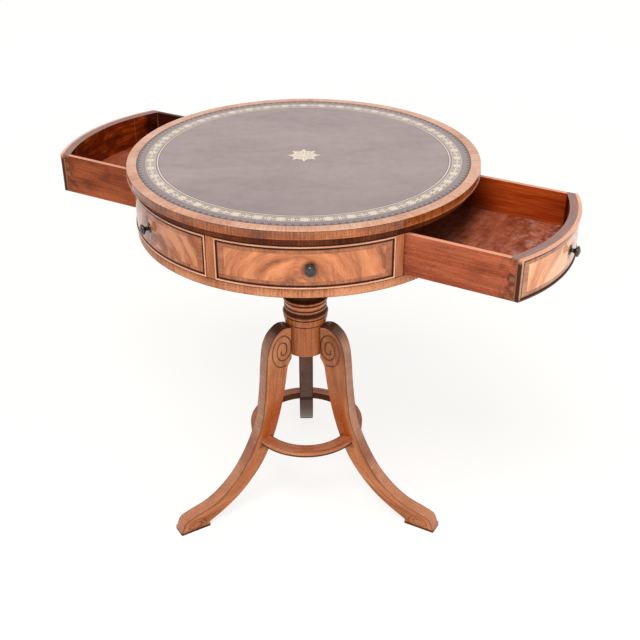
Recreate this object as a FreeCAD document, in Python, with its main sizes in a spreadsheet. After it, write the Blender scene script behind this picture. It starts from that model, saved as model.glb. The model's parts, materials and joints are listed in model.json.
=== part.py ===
import FreeCAD, Part
import Sketcher
import math
import os

# A drum table: a leather-lined round top on a drum of six divisions, a turned pillar and three
# scroll-topped sabre legs tied by a ring. Origin on the floor under the pillar, +Z up, millimetres.
# The front of the table faces -Y. Two opposite divisions are drawers, the other four are dummy fronts.

Vector = FreeCAD.Vector
doc = FreeCAD.newDocument("DrumTable")
sheet = doc.addObject("Spreadsheet::Sheet", "Sizes")

DRIVING = {
    # whole table
    "table_height": 729.0,
    "top_radius": 305.0,
    "drum_radius": 295.5,
    "foot_reach": 292.5,
    "leg_height": 401.0,
    # top
    "rim_depth": 15.5,
    "crossband_width": 17.0,
    "crossband_thickness": 1.5,
    "edge_band_thickness": 1.5,
    "edge_lip_depth": 2.4,
    "edge_lip_projection": 0.8,
    "leather_thickness": 1.2,
    # drum
    "upper_board_depth": 15.5,
    "opening_height": 73.0,
    "base_board_depth": 15.6,
    "base_band_thickness": 1.5,
    "stile_width": 16.0,
    "stile_depth": 54.0,
    "stile_shoulder": 20.0,
    "front_thickness": 18.0,
    "partition_thickness": 10.0,
    "divider_thickness": 12.0,
    # cockbead
    "bead_width": 3.2,
    "bead_seat_depth": 4.5,
    "bead_projection": 1.8,
    "bead_nose_easing": 1.0,
    # drawers
    "drawer_side_clearance": 2.2,
    "drawer_top_clearance": 1.0,
    "running_gap": 0.3,
    "side_thickness": 7.0,
    "back_thickness": 7.0,
    "back_drop": 5.0,
    "bottom_thickness": 5.0,
    "bottom_lift": 6.2,
    "groove_depth": 4.0,
    "tail_length": 8.5,
    "tail_flare": 1.4,
    "pin_width": 9.0,
    "half_pin_width": 4.5,
    "stop_length": 12.2,
    "stop_width": 18.5,
    "stop_height": 15.0,
    # knobs
    "knob_radius": 9.0,
    "knob_projection": 16.0,
    "knob_plate_radius": 8.5,
    "knob_plate_thickness": 2.5,
    "knob_stem_radius": 3.5,
    "knob_spigot_radius": 3.0,
    "knob_spigot_length": 12.0,
    # pillar, legs and ring
    "pillar_radius": 39.0,
    "pillar_foot": 64.0,
    "tenon_radius": 19.0,
    "bearer_radius": 80.0,
    "bearer_depth": 20.0,
    "leg_thickness": 28.0,
    "foot_pad_depth": 8.0,
    "ring_width": 24.0,
    "ring_depth": 13.5,
    "ring_edge_easing": 2.0,
    "tongue_depth": 14.0,
    "tongue_neck_width": 10.0,
    "tongue_end_width": 15.0,
    # screws
    "screw_radius": 2.2,
    "screw_head_radius": 4.5,
    "screw_head_depth": 3.0,
    "screw_bite": 10.0,
    # fits and cuts
    "fit_clearance": 0.1,
    "overrun": 5.0,
}


class Size:
    """A length that is known both as a number and as the sheet formula that gives it."""

    def __init__(self, amount, words):
        self.amount = float(amount)
        self.words = words

    def __float__(self):
        return self.amount

    def join(self, other, mark, amount):
        words = other.words if isinstance(other, Size) else repr(other)
        return Size(amount, f"({self.words} {mark} {words})")

    def __add__(self, other):
        return self.join(other, "+", self.amount + float(other))

    def __sub__(self, other):
        return self.join(other, "-", self.amount - float(other))

    def __mul__(self, share):
        return self.join(share, "*", self.amount * float(share))


class Named:
    """Holder that gives each driving size as an attribute."""


size = Named()
for row, (alias, amount) in enumerate(DRIVING.items(), 1):
    sheet.set(f"A{row}", alias)
    sheet.set(f"B{row}", str(amount))
    sheet.setAlias(f"B{row}", alias)
    setattr(size, alias, Size(amount, f"Sizes.{alias}"))
doc.recompute()

NOTHING = Size(0, "0")
parts = []

# Turns, in degrees
FULL_TURN = 360
QUARTER_TURN = 90

# Levels of the table, from the top down
rim_bottom = size.table_height - size.rim_depth
board_top = size.table_height - size.crossband_thickness
opening_top = rim_bottom - size.upper_board_depth
opening_bottom = opening_top - size.opening_height
drum_bottom = opening_bottom - size.base_board_depth
pillar_top = drum_bottom - size.bearer_depth
pillar_bottom = size.leg_height - size.pillar_foot
knob_level = opening_bottom + size.opening_height * 0.5

# Plan of the drum: six divisions; where each stands, and the legs, as azimuths in degrees
DIVISIONS = 6
DIVISION = FULL_TURN / DIVISIONS
DRAWER_AXES = {"right": -30, "left": 150}
# How far each drawer is out, in shares of what its partitions guide
DRAWER_OPEN_SHARES = {"right": 0.909, "left": 0.836}
DUMMY_AXES = {"front": -90, "left": -150, "right": 30, "rear": 90}
# The front knob stands a little beside the middle of its front
KNOB_TURNS = {"front": 1.5}
DUMMY_STILE_AXES = {"front_left": -120, "rear_right": 60}
DRAWER_STILES = {
    "right": ("right", 1),
    "front_right": ("right", -1),
    "left": ("left", 1),
    "rear_left": ("left", -1),
}
LEG_AXES = {"left": -150, "right": -30, "rear": 90}

stile_half_angle = math.asin(float(size.stile_width) / 2 / float(size.drum_radius))
opening_half_angle = math.radians(DIVISION / 2) - stile_half_angle
stile_sine = "asin(Sizes.stile_width / 2 / Sizes.drum_radius)"
guide_half_gap = Size(
    float(size.drum_radius) * math.sin(opening_half_angle),
    f"(Sizes.drum_radius * sin({DIVISION / 2} deg - {stile_sine}))",
)
guide_face = math.sqrt(float(size.drum_radius) ** 2 - float(guide_half_gap) ** 2)
partition_half_length = Size(
    guide_face - float(size.stile_depth),
    f"(sqrt(Sizes.drum_radius ^ 2 - {guide_half_gap.words} ^ 2) - Sizes.stile_depth)",
)
front_inner_radius = size.drum_radius - size.front_thickness
bead_outer_radius = size.drum_radius + size.bead_projection
bead_inner_radius = size.drum_radius - size.bead_seat_depth

# A drawer's width, heights and length; it runs from the stops on the divider to the drum's face
drawer_half_width = guide_half_gap - size.drawer_side_clearance
drawer_bottom_edge = opening_bottom + size.running_gap
drawer_top_edge = opening_top - size.drawer_top_clearance
panel_bottom = drawer_bottom_edge + size.bottom_lift
panel_top = panel_bottom + size.bottom_thickness
back_top = drawer_top_edge - size.back_drop
divider_half = size.divider_thickness * 0.5
stop_end = divider_half + size.stop_length
drawer_rear = stop_end + size.running_gap
side_inner = drawer_half_width - size.side_thickness
tail_shoulder = math.sqrt(float(front_inner_radius) ** 2 - float(side_inner) ** 2)


def bind(item, **formulas):
    """Ties properties of a document object to the sheet; a double underscore stands for a dot."""
    for path, value in formulas.items():
        item.setExpression(path.replace("__", "."), value.words)
    return item


def box(name, low, high):
    """A board between two corners."""
    item = doc.addObject("Part::Box", name)
    for side, axis, start, stop in zip(("Length", "Width", "Height"), "xyz", low, high):
        item.setExpression(side, (stop - start).words)
        item.setExpression(f"Placement.Base.{axis}", start.words)
    return item


def disc(name, radius, low, high):
    """An upright disc between two levels."""
    item = doc.addObject("Part::Cylinder", name)
    return bind(item, Radius=radius, Height=high - low, Placement__Base__z=low)


def rod(name, radius, start, stop, level):
    """A rod that lies along the outward direction."""
    item = doc.addObject("Part::Cylinder", name)
    item.Placement.Rotation = FreeCAD.Rotation(Vector(0, 1, 0), QUARTER_TURN)
    bind(item, Radius=radius, Height=stop - start)
    return bind(item, Placement__Base__x=start, Placement__Base__z=level)


def cut(name, base, *tools):
    """What is left of a piece when others are taken out of it, one after another."""
    item = base
    for count, tool in enumerate(tools, 1):
        result = doc.addObject("Part::Cut", name if count == len(tools) else f"{name}_cut{count}")
        result.Base = item
        result.Tool = tool
        item = result
    return item


def together(name, items):
    """Several solids as one object, each still by itself."""
    item = doc.addObject("Part::Compound", name)
    item.Links = items
    return item


def placed(name, pattern, axis=0, out=NOTHING, lift=NOTHING):
    """A piece made to a pattern, turned to its azimuth and moved out along it."""
    item = together(name, [pattern])
    item.Placement = FreeCAD.Placement(Vector(0, 0, 0), FreeCAD.Rotation(Vector(0, 0, 1), axis))
    item.setExpression("Placement.Base.x", f"{out.words} * cos({axis} deg)")
    item.setExpression("Placement.Base.y", f"{out.words} * sin({axis} deg)")
    return bind(item, Placement__Base__z=lift)


def keep(item, label):
    """Lists a finished piece under the name of its node."""
    item.Label = label
    parts.append(item)
    return item


def ring(name, inner, outer, low, high):
    """A flat ring between two radii and two levels."""
    hole = disc(name + "_hole", inner, low - size.overrun, high + size.overrun)
    return cut(name, disc(name + "_disc", outer, low, high), hole)


def line(first, last):
    return Part.LineSegment(Vector(*first, 0), Vector(*last, 0))


def arc(first, middle, last):
    return Part.Arc(Vector(*first, 0), Vector(*middle, 0), Vector(*last, 0))


def path(points):
    return [line(first, last) for first, last in zip(points, points[1:])]


def polygon(points):
    return path(list(points) + [points[0]])


def new_body(name):
    return doc.addObject("PartDesign::Body", name)


def sketch_on(body, role, edges, lift=None):
    """A sketch on one of the body's own origin planes, raised along the plane's normal."""
    sketch = body.newObject("Sketcher::SketchObject", f"{body.Name}_outline")
    plane = [item for item in body.Origin.OriginFeatures if item.Role == role][0]
    sketch.AttachmentSupport = [(plane, "")]
    sketch.MapMode = "FlatFace"
    if lift is not None:
        sketch.setExpression("AttachmentOffset.Base.z", lift.words)
    for count, edge in enumerate(edges):
        sketch.addGeometry(edge, False)
        sketch.addConstraint(Sketcher.Constraint("Block", count))
    return sketch


def pad(body, sketch, length, midplane=False):
    """Wood along the sketch's normal, or the same to both sides of it."""
    feature = body.newObject("PartDesign::Pad", f"{body.Name}_pad")
    feature.Profile = sketch
    feature.Midplane = midplane
    bind(feature, Length=length)
    doc.recompute()
    return body


def pocket(body, sketch, half_depth):
    """A recess cut to both sides of its sketch; it has to remove some wood."""
    before = body.Shape.Volume
    feature = body.newObject("PartDesign::Pocket", f"{body.Name}_pocket")
    feature.Profile = sketch
    feature.Midplane = True
    bind(feature, Length=half_depth * 2)
    doc.recompute()
    if body.Shape.Volume >= before:
        raise RuntimeError(f"a recess in {body.Name} removes nothing")
    return body


def eased(body, edges, width):
    """Takes the sharpness off the given edges of a body."""
    square = body.Tip
    feature = body.newObject("PartDesign::Chamfer", f"{body.Name}_easing")
    feature.Base = (square, edges)
    bind(feature, Size=width)
    doc.recompute()
    return body


def turned(name, edges, axis="V_Axis"):
    """A piece turned from half its outline, drawn on the upright front plane."""
    body = new_body(name)
    sketch = sketch_on(body, "XZ_Plane", edges)
    feature = body.newObject("PartDesign::Revolution", name + "_turning")
    feature.Profile = sketch
    feature.ReferenceAxis = (sketch, [axis])
    feature.Angle = FULL_TURN
    doc.recompute()
    return body


# Screws and the holes for them


def screws(name, places, start, length, clearance):
    """Countersunk wood screws driven upwards, or with a clearance the holes for them."""
    items = []
    for count, (east, north) in enumerate(places, 1):
        tip = start + length + clearance
        shank = disc(f"{name}_shank{count}", size.screw_radius + clearance, start, tip)
        head = doc.addObject("Part::Cone", f"{name}_head{count}")
        bind(head, Radius1=size.screw_head_radius + clearance, Radius2=size.screw_radius + clearance)
        bind(head, Height=size.screw_head_depth + clearance, Placement__Base__z=start)
        screw = doc.addObject("Part::Fuse", f"{name}{count}")
        screw.Base = head
        screw.Tool = shank
        items.append(bind(screw, Placement__Base__x=east, Placement__Base__y=north))
    return together(name, items)


def round_places(radius, turns):
    """Places on a circle at the given azimuths, as sizes."""
    return [
        (
            Size(float(radius) * math.cos(math.radians(turn)), f"({radius.words} * cos({turn} deg))"),
            Size(float(radius) * math.sin(math.radians(turn)), f"({radius.words} * sin({turn} deg))"),
        )
        for turn in turns
    ]


# The top's screws are where a hand reaches them through the drawer openings
TOP_SCREW_TURN = 35
TOP_SCREW_SHARE = 0.575
BEARER_SCREW_SHARE = 0.58
top_screw_turns = [
    axis + turn for axis in DRAWER_AXES.values() for turn in (TOP_SCREW_TURN, -TOP_SCREW_TURN)
]
top_screw_places = round_places(size.drum_radius * TOP_SCREW_SHARE, top_screw_turns)
top_screw_length = size.upper_board_depth + size.screw_bite
bearer_screw_turns = [turn + QUARTER_TURN / 2 for turn in range(0, FULL_TURN, QUARTER_TURN)]
bearer_screw_radius = (size.bearer_radius + size.tenon_radius) * BEARER_SCREW_SHARE
bearer_screw_places = round_places(bearer_screw_radius, bearer_screw_turns)
bearer_screw_length = size.bearer_depth + size.screw_bite

for name, places, start, length in (
    ("top_screws", top_screw_places, opening_top, top_screw_length),
    ("bearer_screws", bearer_screw_places, pillar_top, bearer_screw_length),
):
    keep(screws(name, places, start, length, NOTHING), name)
fit = size.fit_clearance
top_holes = screws("top_holes", top_screw_places, opening_top, top_screw_length, fit)
bearer_holes = screws("bearer_holes", bearer_screw_places, pillar_top, bearer_screw_length, fit)


# Top: a veneered board, its cross-banded border and edge, and the leather let in between them
board_radius = size.top_radius - size.edge_band_thickness
leather_radius = size.top_radius - size.crossband_width
leather_top = board_top + size.leather_thickness


def edge_band():
    """Vertical-grain band round the edge of the top, with a small lip at its foot."""
    inner, outer = float(board_radius), float(size.top_radius)
    low, high = float(rim_bottom), float(board_top)
    lip_out = float(size.top_radius + size.edge_lip_projection)
    lip_top = float(rim_bottom + size.edge_lip_depth)
    lip = [(inner, low), (lip_out, low), (lip_out, lip_top), (outer, lip_top)]
    return turned("edge_band", polygon(lip + [(outer, high), (inner, high)]))


keep(cut("top_board", disc("top_blank", board_radius, rim_bottom, board_top), top_holes), "top_board")
keep(disc("leather_inset", leather_radius, board_top, leather_top), "leather_inset")
keep(ring("top_crossband", leather_radius, size.top_radius, board_top, size.table_height), "top_crossband")
keep(edge_band(), "top_edge_band")

# Drum boards; the base board has a cross-grained band round its edge
base_radius = size.drum_radius - size.base_band_thickness
upper_blank = disc("upper_board_blank", size.drum_radius, opening_top, rim_bottom)
base_blank = disc("base_board_blank", base_radius, drum_bottom, opening_bottom)
keep(cut("drum_upper_board", upper_blank, top_holes), "drum_upper_board")
keep(cut("drum_base_board", base_blank, bearer_holes), "drum_base_board")
keep(ring("drum_base_band", base_radius, size.drum_radius, drum_bottom, opening_bottom), "drum_base_band")


def round_point(radius, angle, hand=1):
    """A point of the plan by its distance and direction from the middle of the drum."""
    return (float(radius) * math.cos(angle), hand * float(radius) * math.sin(angle))


shoulder_angle = math.asin(float(size.stile_shoulder) / float(front_inner_radius))


def drawer_stile(hand):
    """Stile beside a drawer: its drawer side is parallel to the drawer's run, its other side radial."""
    middle = math.radians(DIVISION / 2)
    radial = middle + stile_half_angle
    corner = (guide_face, hand * float(guide_half_gap))
    outer = round_point(size.drum_radius, radial, hand)
    inner = round_point(front_inner_radius, radial, hand)
    heel = round_point(front_inner_radius, radial + shoulder_angle, hand)
    back = float(partition_half_length)
    edges = [arc(corner, round_point(size.drum_radius, middle, hand), outer), line(outer, inner)]
    edges.append(arc(inner, round_point(front_inner_radius, radial + shoulder_angle / 2, hand), heel))
    edges += path([heel, (back, heel[1]), (back, corner[1]), corner])
    return edges


def dummy_stile():
    """Stile between two dummy fronts, both its sides radial."""
    ends = []
    for hand in (1, -1):
        outer = round_point(size.drum_radius, stile_half_angle, hand)
        inner = round_point(front_inner_radius, stile_half_angle, hand)
        halfway = round_point(front_inner_radius, stile_half_angle + shoulder_angle / 2, hand)
        heel = round_point(front_inner_radius, stile_half_angle + shoulder_angle, hand)
        back = (float(size.drum_radius - size.stile_depth), heel[1])
        ends.append((outer, inner, halfway, heel, back))
    edges = [arc(ends[1][0], (float(size.drum_radius), 0), ends[0][0]), line(ends[0][4], ends[1][4])]
    for outer, inner, halfway, heel, back in ends:
        edges += [line(outer, inner), arc(inner, halfway, heel), line(heel, back)]
    return edges


def upright(name, edges):
    """A post or board of the drum, from the base board to the upper board."""
    body = new_body(name)
    return pad(body, sketch_on(body, "XY_Plane", edges, opening_bottom), size.opening_height)


stile_patterns = {
    hand: upright(f"drawer_stile_{word}", drawer_stile(hand)) for hand, word in ((1, "a"), (-1, "b"))
}
for place, (drawer, hand) in DRAWER_STILES.items():
    keep(placed(f"stile_{place}", stile_patterns[hand], DRAWER_AXES[drawer]), f"stile_{place}")
dummy_stile_pattern = upright("dummy_stile", dummy_stile())
for place, axis in DUMMY_STILE_AXES.items():
    keep(placed(f"stile_{place}", dummy_stile_pattern, axis), f"stile_{place}")

# Inside the drum: the partitions that guide both drawers, the divider between them and their stops
inside_axis = DRAWER_AXES["right"]
partition_outside = guide_half_gap + size.partition_thickness
partition_start = NOTHING - partition_half_length
for place, low_side, high_side in (
    ("rear", guide_half_gap, partition_outside),
    ("front", NOTHING - partition_outside, NOTHING - guide_half_gap),
):
    low = (partition_start, low_side, opening_bottom)
    high = (partition_half_length, high_side, opening_top)
    board = box(f"{place}_partition_board", low, high)
    keep(placed(f"{place}_partition", board, inside_axis), f"{place}_partition")

divider_low = (NOTHING - divider_half, NOTHING - guide_half_gap, opening_bottom)
divider = box("divider_board", divider_low, (divider_half, guide_half_gap, opening_top))
keep(placed("centre_divider", divider, inside_axis), "centre_divider")

stop_top = opening_bottom + size.stop_height
stop_inner = guide_half_gap - size.stop_width
stop_reach = ((divider_half, stop_end), (NOTHING - stop_end, NOTHING - divider_half))
stop_spread = ((stop_inner, guide_half_gap), (NOTHING - guide_half_gap, NOTHING - stop_inner))
stops = [
    box("stop_block", (reach[0], spread[0], opening_bottom), (reach[1], spread[1], stop_top))
    for reach in stop_reach
    for spread in stop_spread
]
keep(placed("drawer_stops", together("stop_blocks", stops), inside_axis), "drawer_stops")


def end_point(radius, direction, distance, hand):
    """Where an end plane, given by its direction and its distance from the middle, meets a circle."""
    along = math.sqrt(float(radius) ** 2 - distance**2)
    out = math.cos(direction) * along - math.sin(direction) * distance
    across = math.sin(direction) * along + math.cos(direction) * distance
    return (out, hand * across)


def curved_board(inner, outer, ends):
    """Plan of a board between two radii; each end is its points from the outer corner inwards."""
    left, right = ends(1), ends(-1)
    edges = [arc(right[0], (float(outer), 0), left[0]), arc(left[-1], (float(inner), 0), right[-1])]
    return edges + path(left) + path(right)


def cockbead(name, direction, distance, low, high):
    """Cockbead round a front: a frame that fills a rebate, with its nose eased."""
    far = float(distance)
    near = far - float(size.bead_width)

    def outside(hand):
        outer = end_point(bead_outer_radius, direction, far, hand)
        seat = end_point(bead_inner_radius, direction, near, hand)
        along = (math.cos(direction), hand * math.sin(direction))
        back = (seat[0] * along[0] + seat[1] * along[1]) - (outer[0] * along[0] + outer[1] * along[1])
        corner = (outer[0] + back * along[0], outer[1] + back * along[1])
        return [outer, corner, seat]

    wide = bead_outer_radius + size.overrun
    deep = bead_inner_radius - size.overrun

    def window(hand):
        return [end_point(wide, direction, near, hand), end_point(deep, direction, near, hand)]

    body = new_body(name)
    frame = curved_board(bead_inner_radius, bead_outer_radius, outside)
    pad(body, sketch_on(body, "XY_Plane", frame, low), high - low)
    middle = (low + high) * 0.5
    half_window = (high - low) * 0.5 - size.bead_width
    pocket(body, sketch_on(body, "XY_Plane", curved_board(deep, wide, window), middle), half_window)
    nose = [
        f"Edge{count}"
        for count, edge in enumerate(body.Shape.Edges, 1)
        if min(math.hypot(end.X, end.Y) for end in edge.Vertexes) > float(size.drum_radius)
    ]
    return eased(body, nose, size.bead_nose_easing)


# Knobs: the outline is in shares of the projection and of the radius, from the stem to the face
KNOB_SHARES = [(0.42, 0.39), (0.68, 1.0), (0.8, 1.0), (1.0, 0.55)]


def knob_pattern():
    """A turned knob with its spigot, its axis pointing out of the drum."""
    face = size.drum_radius
    inside = float(face - size.knob_spigot_length)
    seat = float(face + size.knob_plate_thickness)
    spigot, stem = float(size.knob_spigot_radius), float(size.knob_stem_radius)
    points = [(inside, 0), (inside, spigot), (seat, spigot), (seat, stem)]
    for out_share, radius_share in KNOB_SHARES:
        out = float(face + size.knob_projection * out_share)
        points.append((out, float(size.knob_radius * radius_share)))
    points.append((points[-1][0], 0))
    return turned("knob", polygon(points), "H_Axis")


def knob_plate_pattern():
    """Round plate under a knob, its back hollowed to the drum's face."""
    hole = float(size.knob_spigot_radius + size.fit_clearance)
    face = float(size.drum_radius + size.knob_plate_thickness)
    back = float(size.drum_radius - size.knob_plate_thickness)
    rim = float(size.knob_plate_radius)
    outline = polygon([(back, hole), (back, rim), (face, rim), (face, hole)])
    plate = turned("plate_blank", outline, "H_Axis")
    drum = disc("plate_seat", size.drum_radius, NOTHING - size.knob_radius, size.knob_radius)
    return cut("knob_plate", plate, drum)


knob = knob_pattern()
knob_plate = knob_plate_pattern()
spigot_start = size.drum_radius - size.knob_spigot_length - size.fit_clearance
spigot_stop = size.drum_radius + size.overrun
spigot_radius = size.knob_spigot_radius + size.fit_clearance
spigot_hole = rod("spigot_hole", spigot_radius, spigot_start, spigot_stop, knob_level)


# Dummy fronts, each with its cockbead, knob and plate
def dummy_end(hand):
    radii = (size.drum_radius, front_inner_radius)
    return [end_point(radius, opening_half_angle, 0, hand) for radius in radii]


dummy_bead = cockbead("dummy_bead", opening_half_angle, NOTHING, opening_bottom, opening_top)
dummy_blank = upright("dummy_blank", curved_board(front_inner_radius, size.drum_radius, dummy_end))
for place, axis in DUMMY_AXES.items():
    turn = KNOB_TURNS.get(place, 0)
    hole = placed(f"{place}_knob_hole", spigot_hole, turn)
    board = cut(f"{place}_dummy_board", dummy_blank, dummy_bead, hole)
    keep(placed(f"{place}_dummy_front", board, axis), f"{place}_dummy_front")
    keep(placed(f"{place}_dummy_bead", dummy_bead, axis), f"{place}_dummy_bead")
    for piece, pattern in (("knob", knob), ("plate", knob_plate)):
        label = f"{place}_dummy_{piece}"
        keep(placed(label, pattern, axis + turn, lift=knob_level), label)


# Drawers. A pattern drawer is made shut, its run along +X; the dovetail tails are on the sides
def flared(shoulder, tip, low, high, grow):
    """One dovetail between two levels, given at half its length, wider by twice grow at its tip."""
    return [(shoulder, low + grow), (tip, low - grow), (tip, high + grow), (shoulder, high - grow)]


def front_tails():
    """The two tails that each side has at the front, as outlines in the side's plane."""
    low, high = float(drawer_bottom_edge), float(drawer_top_edge)
    half_pin, pin_half = float(size.half_pin_width), float(size.pin_width) / 2
    middle, grow = (low + high) / 2, float(size.tail_flare) / 2
    tip = tail_shoulder + float(size.tail_length)
    return [
        flared(tail_shoulder, tip, low + half_pin, middle - pin_half, grow),
        flared(tail_shoulder, tip, middle + pin_half, high - half_pin, grow),
    ]


def drawer_front_blank():
    """Curved front with parallel ends, cut back for the sides, with a socket for each tail."""

    def end(hand):
        half = float(drawer_half_width)
        outer = (math.sqrt(float(size.drum_radius) ** 2 - half**2), hand * half)
        return [outer, (tail_shoulder, hand * half), (tail_shoulder, hand * float(side_inner))]

    body = new_body("drawer_front_blank")
    outline = curved_board(front_inner_radius, size.drum_radius, end)
    plan = sketch_on(body, "XY_Plane", outline, drawer_bottom_edge)
    pad(body, plan, drawer_top_edge - drawer_bottom_edge)
    for face in (drawer_half_width, NOTHING - drawer_half_width):
        sockets = [edge for tail in front_tails() for edge in polygon(tail)]
        pocket(body, sketch_on(body, "XZ_Plane", sockets, face), size.side_thickness)
    return body


def drawer_back():
    """Back board between the sides, with pins through them."""
    rear, inner = float(drawer_rear), float(drawer_rear + size.back_thickness)
    low, high = float(panel_top), float(back_top)
    half_pin, pin_half = float(size.half_pin_width), float(size.pin_width) / 2
    middle, grow = (low + high) / 2, float(size.tail_flare) / 2
    body = new_body("drawer_back")
    board = polygon([(rear, low), (inner, low), (inner, high), (rear, high)])
    pad(body, sketch_on(body, "XZ_Plane", board), side_inner * 2, midplane=True)
    pins = polygon(flared(rear, inner, middle - pin_half, middle + pin_half, grow))
    for edge, inward in ((low, 1), (high, -1)):
        wide, narrow = edge + inward * (half_pin + grow), edge + inward * (half_pin - grow)
        pins += polygon([(rear, edge), (inner, edge), (inner, wide), (rear, narrow)])
    pad(body, sketch_on(body, "XZ_Plane", pins), drawer_half_width * 2, midplane=True)
    return body


def drawer_bottom():
    """Thin bottom in grooves of the sides and the front, under the back."""
    radius = float(front_inner_radius + size.groove_depth)
    half, rear = float(side_inner + size.groove_depth), float(drawer_rear)
    front = math.sqrt(radius**2 - half**2)
    edges = [arc((front, -half), (radius, 0), (front, half))]
    edges += path([(front, half), (rear, half), (rear, -half), (front, -half)])
    body = new_body("drawer_bottom")
    return pad(body, sketch_on(body, "XY_Plane", edges, panel_bottom), size.bottom_thickness)


def drawer_side(name, middle):
    """A side with two tails at the front; the back's pins and the bottom are then cut from it."""
    lower, upper = front_tails()
    low, high, rear = float(drawer_bottom_edge), float(drawer_top_edge), float(drawer_rear)
    outline = [(rear, low), (tail_shoulder, low)] + lower + upper
    outline += [(tail_shoulder, high), (rear, high)]
    body = new_body(name)
    sketch = sketch_on(body, "XZ_Plane", polygon(outline), middle)
    return pad(body, sketch, size.side_thickness, midplane=True)


drawer_bead = cockbead("drawer_bead", 0, drawer_half_width, drawer_bottom_edge, drawer_top_edge)
bottom = drawer_bottom()
back = drawer_back()
front = cut("drawer_front", drawer_front_blank(), drawer_bead, bottom, spigot_hole)
side_middle = drawer_half_width - size.side_thickness * 0.5
side_a = cut("side_a", drawer_side("side_a_blank", NOTHING - side_middle), back, bottom)
side_b = cut("side_b", drawer_side("side_b_blank", side_middle), back, bottom)

# Seen from the front of the table, each drawer has a near side and a far side
DRAWER_SIDES = {"right": ("far_side", "near_side"), "left": ("near_side", "far_side")}
for place, axis in DRAWER_AXES.items():
    out = partition_half_length * DRAWER_OPEN_SHARES[place]
    drawer_pieces = {"front": front, "back": back, "bottom": bottom, "bead": drawer_bead}
    drawer_pieces.update(zip(DRAWER_SIDES[place], (side_a, side_b)))
    for piece, pattern in drawer_pieces.items():
        keep(placed(f"{place}_drawer_{piece}", pattern, axis, out), f"{place}_drawer_{piece}")
    keep(placed(f"{place}_drawer_knob", knob, axis, out, knob_level), f"{place}_drawer_knob")
    keep(placed(f"{place}_drawer_plate", knob_plate, axis, out, knob_level), f"{place}_drawer_plate")


# Legs: sabre form, drawn in shares of the reach beyond the pillar and of the height; each list
# is a chain of arcs, every other point being where one arc meets the next
OUTER_CURVE_SHARES = [
    (0.0, 0.993),
    (0.055, 0.999),
    (0.11, 0.984),
    (0.165, 0.947),
    (0.2, 0.885),
    (0.217, 0.79),
    (0.227, 0.7),
    (0.243, 0.605),
    (0.266, 0.508),
    (0.324, 0.404),
    (0.403, 0.307),
    (0.5, 0.221),
    (0.621, 0.151),
    (0.742, 0.108),
    (0.881, 0.084),
    (0.958, 0.064),
    (0.99, 0.021),
]
INNER_CURVE_SHARES = [
    (0.757, 0.025),
    (0.635, 0.065),
    (0.5, 0.121),
    (0.38, 0.192),
    (0.27, 0.282),
    (0.18, 0.398),
    (0.112, 0.53),
    (0.066, 0.663),
    (0.036, 0.783),
]
NIB_SHARES = [(0.018, 0.796), (0.0, 0.828)]
HEEL_SHARE = 0.753
RING_LEVEL_SHARE = 0.4
RING_REACH_SHARE = 0.288
LEG_CORE_SHARE = 0.85
TONGUE_TOP_SHARE = 0.955


# The ring crosses the legs in the middle of their curve
reach = size.foot_reach - size.pillar_radius
ring_outer_radius = size.pillar_radius + reach * RING_REACH_SHARE
ring_inner_radius = ring_outer_radius - size.ring_width
ring_underside = size.leg_height * RING_LEVEL_SHARE - size.ring_depth * 0.5
ring_top = ring_underside + size.ring_depth


def leg_point(shares):
    """A point of the leg's outline, from its shares of the reach and of the height."""
    return (float(size.pillar_radius + reach * shares[0]), float(size.leg_height * shares[1]))


def arc_chain(points):
    """Arcs through every three points, each from the last point of the one before."""
    return [arc(*points[start : start + 3]) for start in range(0, len(points) - 2, 2)]


def tongue(name, clearance, low):
    """The dovetailed tongue of a leg, or with a clearance the housing that it slides up into."""
    end = size.pillar_radius - size.tongue_depth - clearance
    end_half = float(size.tongue_end_width * 0.5 + clearance)
    neck_half = float(size.tongue_neck_width * 0.5 + clearance)
    inner, outer = float(end), float(size.pillar_radius)
    beyond = float(size.pillar_radius + size.overrun)
    plan = [(inner, end_half), (outer, neck_half), (beyond, neck_half)]
    plan += [(out, -across) for out, across in reversed(plan)]
    body = new_body(name)
    top = size.leg_height * TONGUE_TOP_SHARE + clearance
    return pad(body, sketch_on(body, "XY_Plane", polygon(plan), low), top - low)


def leg_pattern():
    """One leg, coped to the pillar, notched for the ring, with a tongue for the pillar's housing."""
    outer = [leg_point(share) for share in OUTER_CURVE_SHARES]
    inner = [leg_point(share) for share in INNER_CURVE_SHARES]
    nib = [leg_point(share) for share in NIB_SHARES]
    core = float(size.pillar_radius * LEG_CORE_SHARE)
    toe, pad_top = float(size.foot_reach), float(size.foot_pad_depth)
    heel = leg_point((HEEL_SHARE, 0))
    edges = arc_chain(outer) + arc_chain(inner) + [arc(inner[-1], nib[0], nib[1])]
    edges += path([outer[-1], (toe, pad_top), (toe, 0), heel, inner[0]])
    edges += path([nib[1], (core, nib[1][1]), (core, outer[0][1]), outer[0]])
    body = new_body("leg_blank")
    pad(body, sketch_on(body, "XZ_Plane", edges), size.leg_thickness, midplane=True)
    cope = disc("leg_cope", size.pillar_radius, NOTHING, size.leg_height + size.overrun)
    notch = disc("leg_notch", ring_outer_radius, ring_underside, ring_top)
    leg = doc.addObject("Part::Fuse", "leg")
    leg.Base = cut("coped_leg", body, cope, notch)
    leg.Tool = tongue("leg_tongue", NOTHING, pillar_bottom)
    return leg


leg = leg_pattern()
housing = tongue("leg_housing", size.fit_clearance, pillar_bottom - size.overrun)
for place, axis in LEG_AXES.items():
    keep(placed(f"{place}_leg", leg, axis), f"{place}_leg")
housings = [placed(f"{place}_housing", housing, axis) for place, axis in LEG_AXES.items()]

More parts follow.
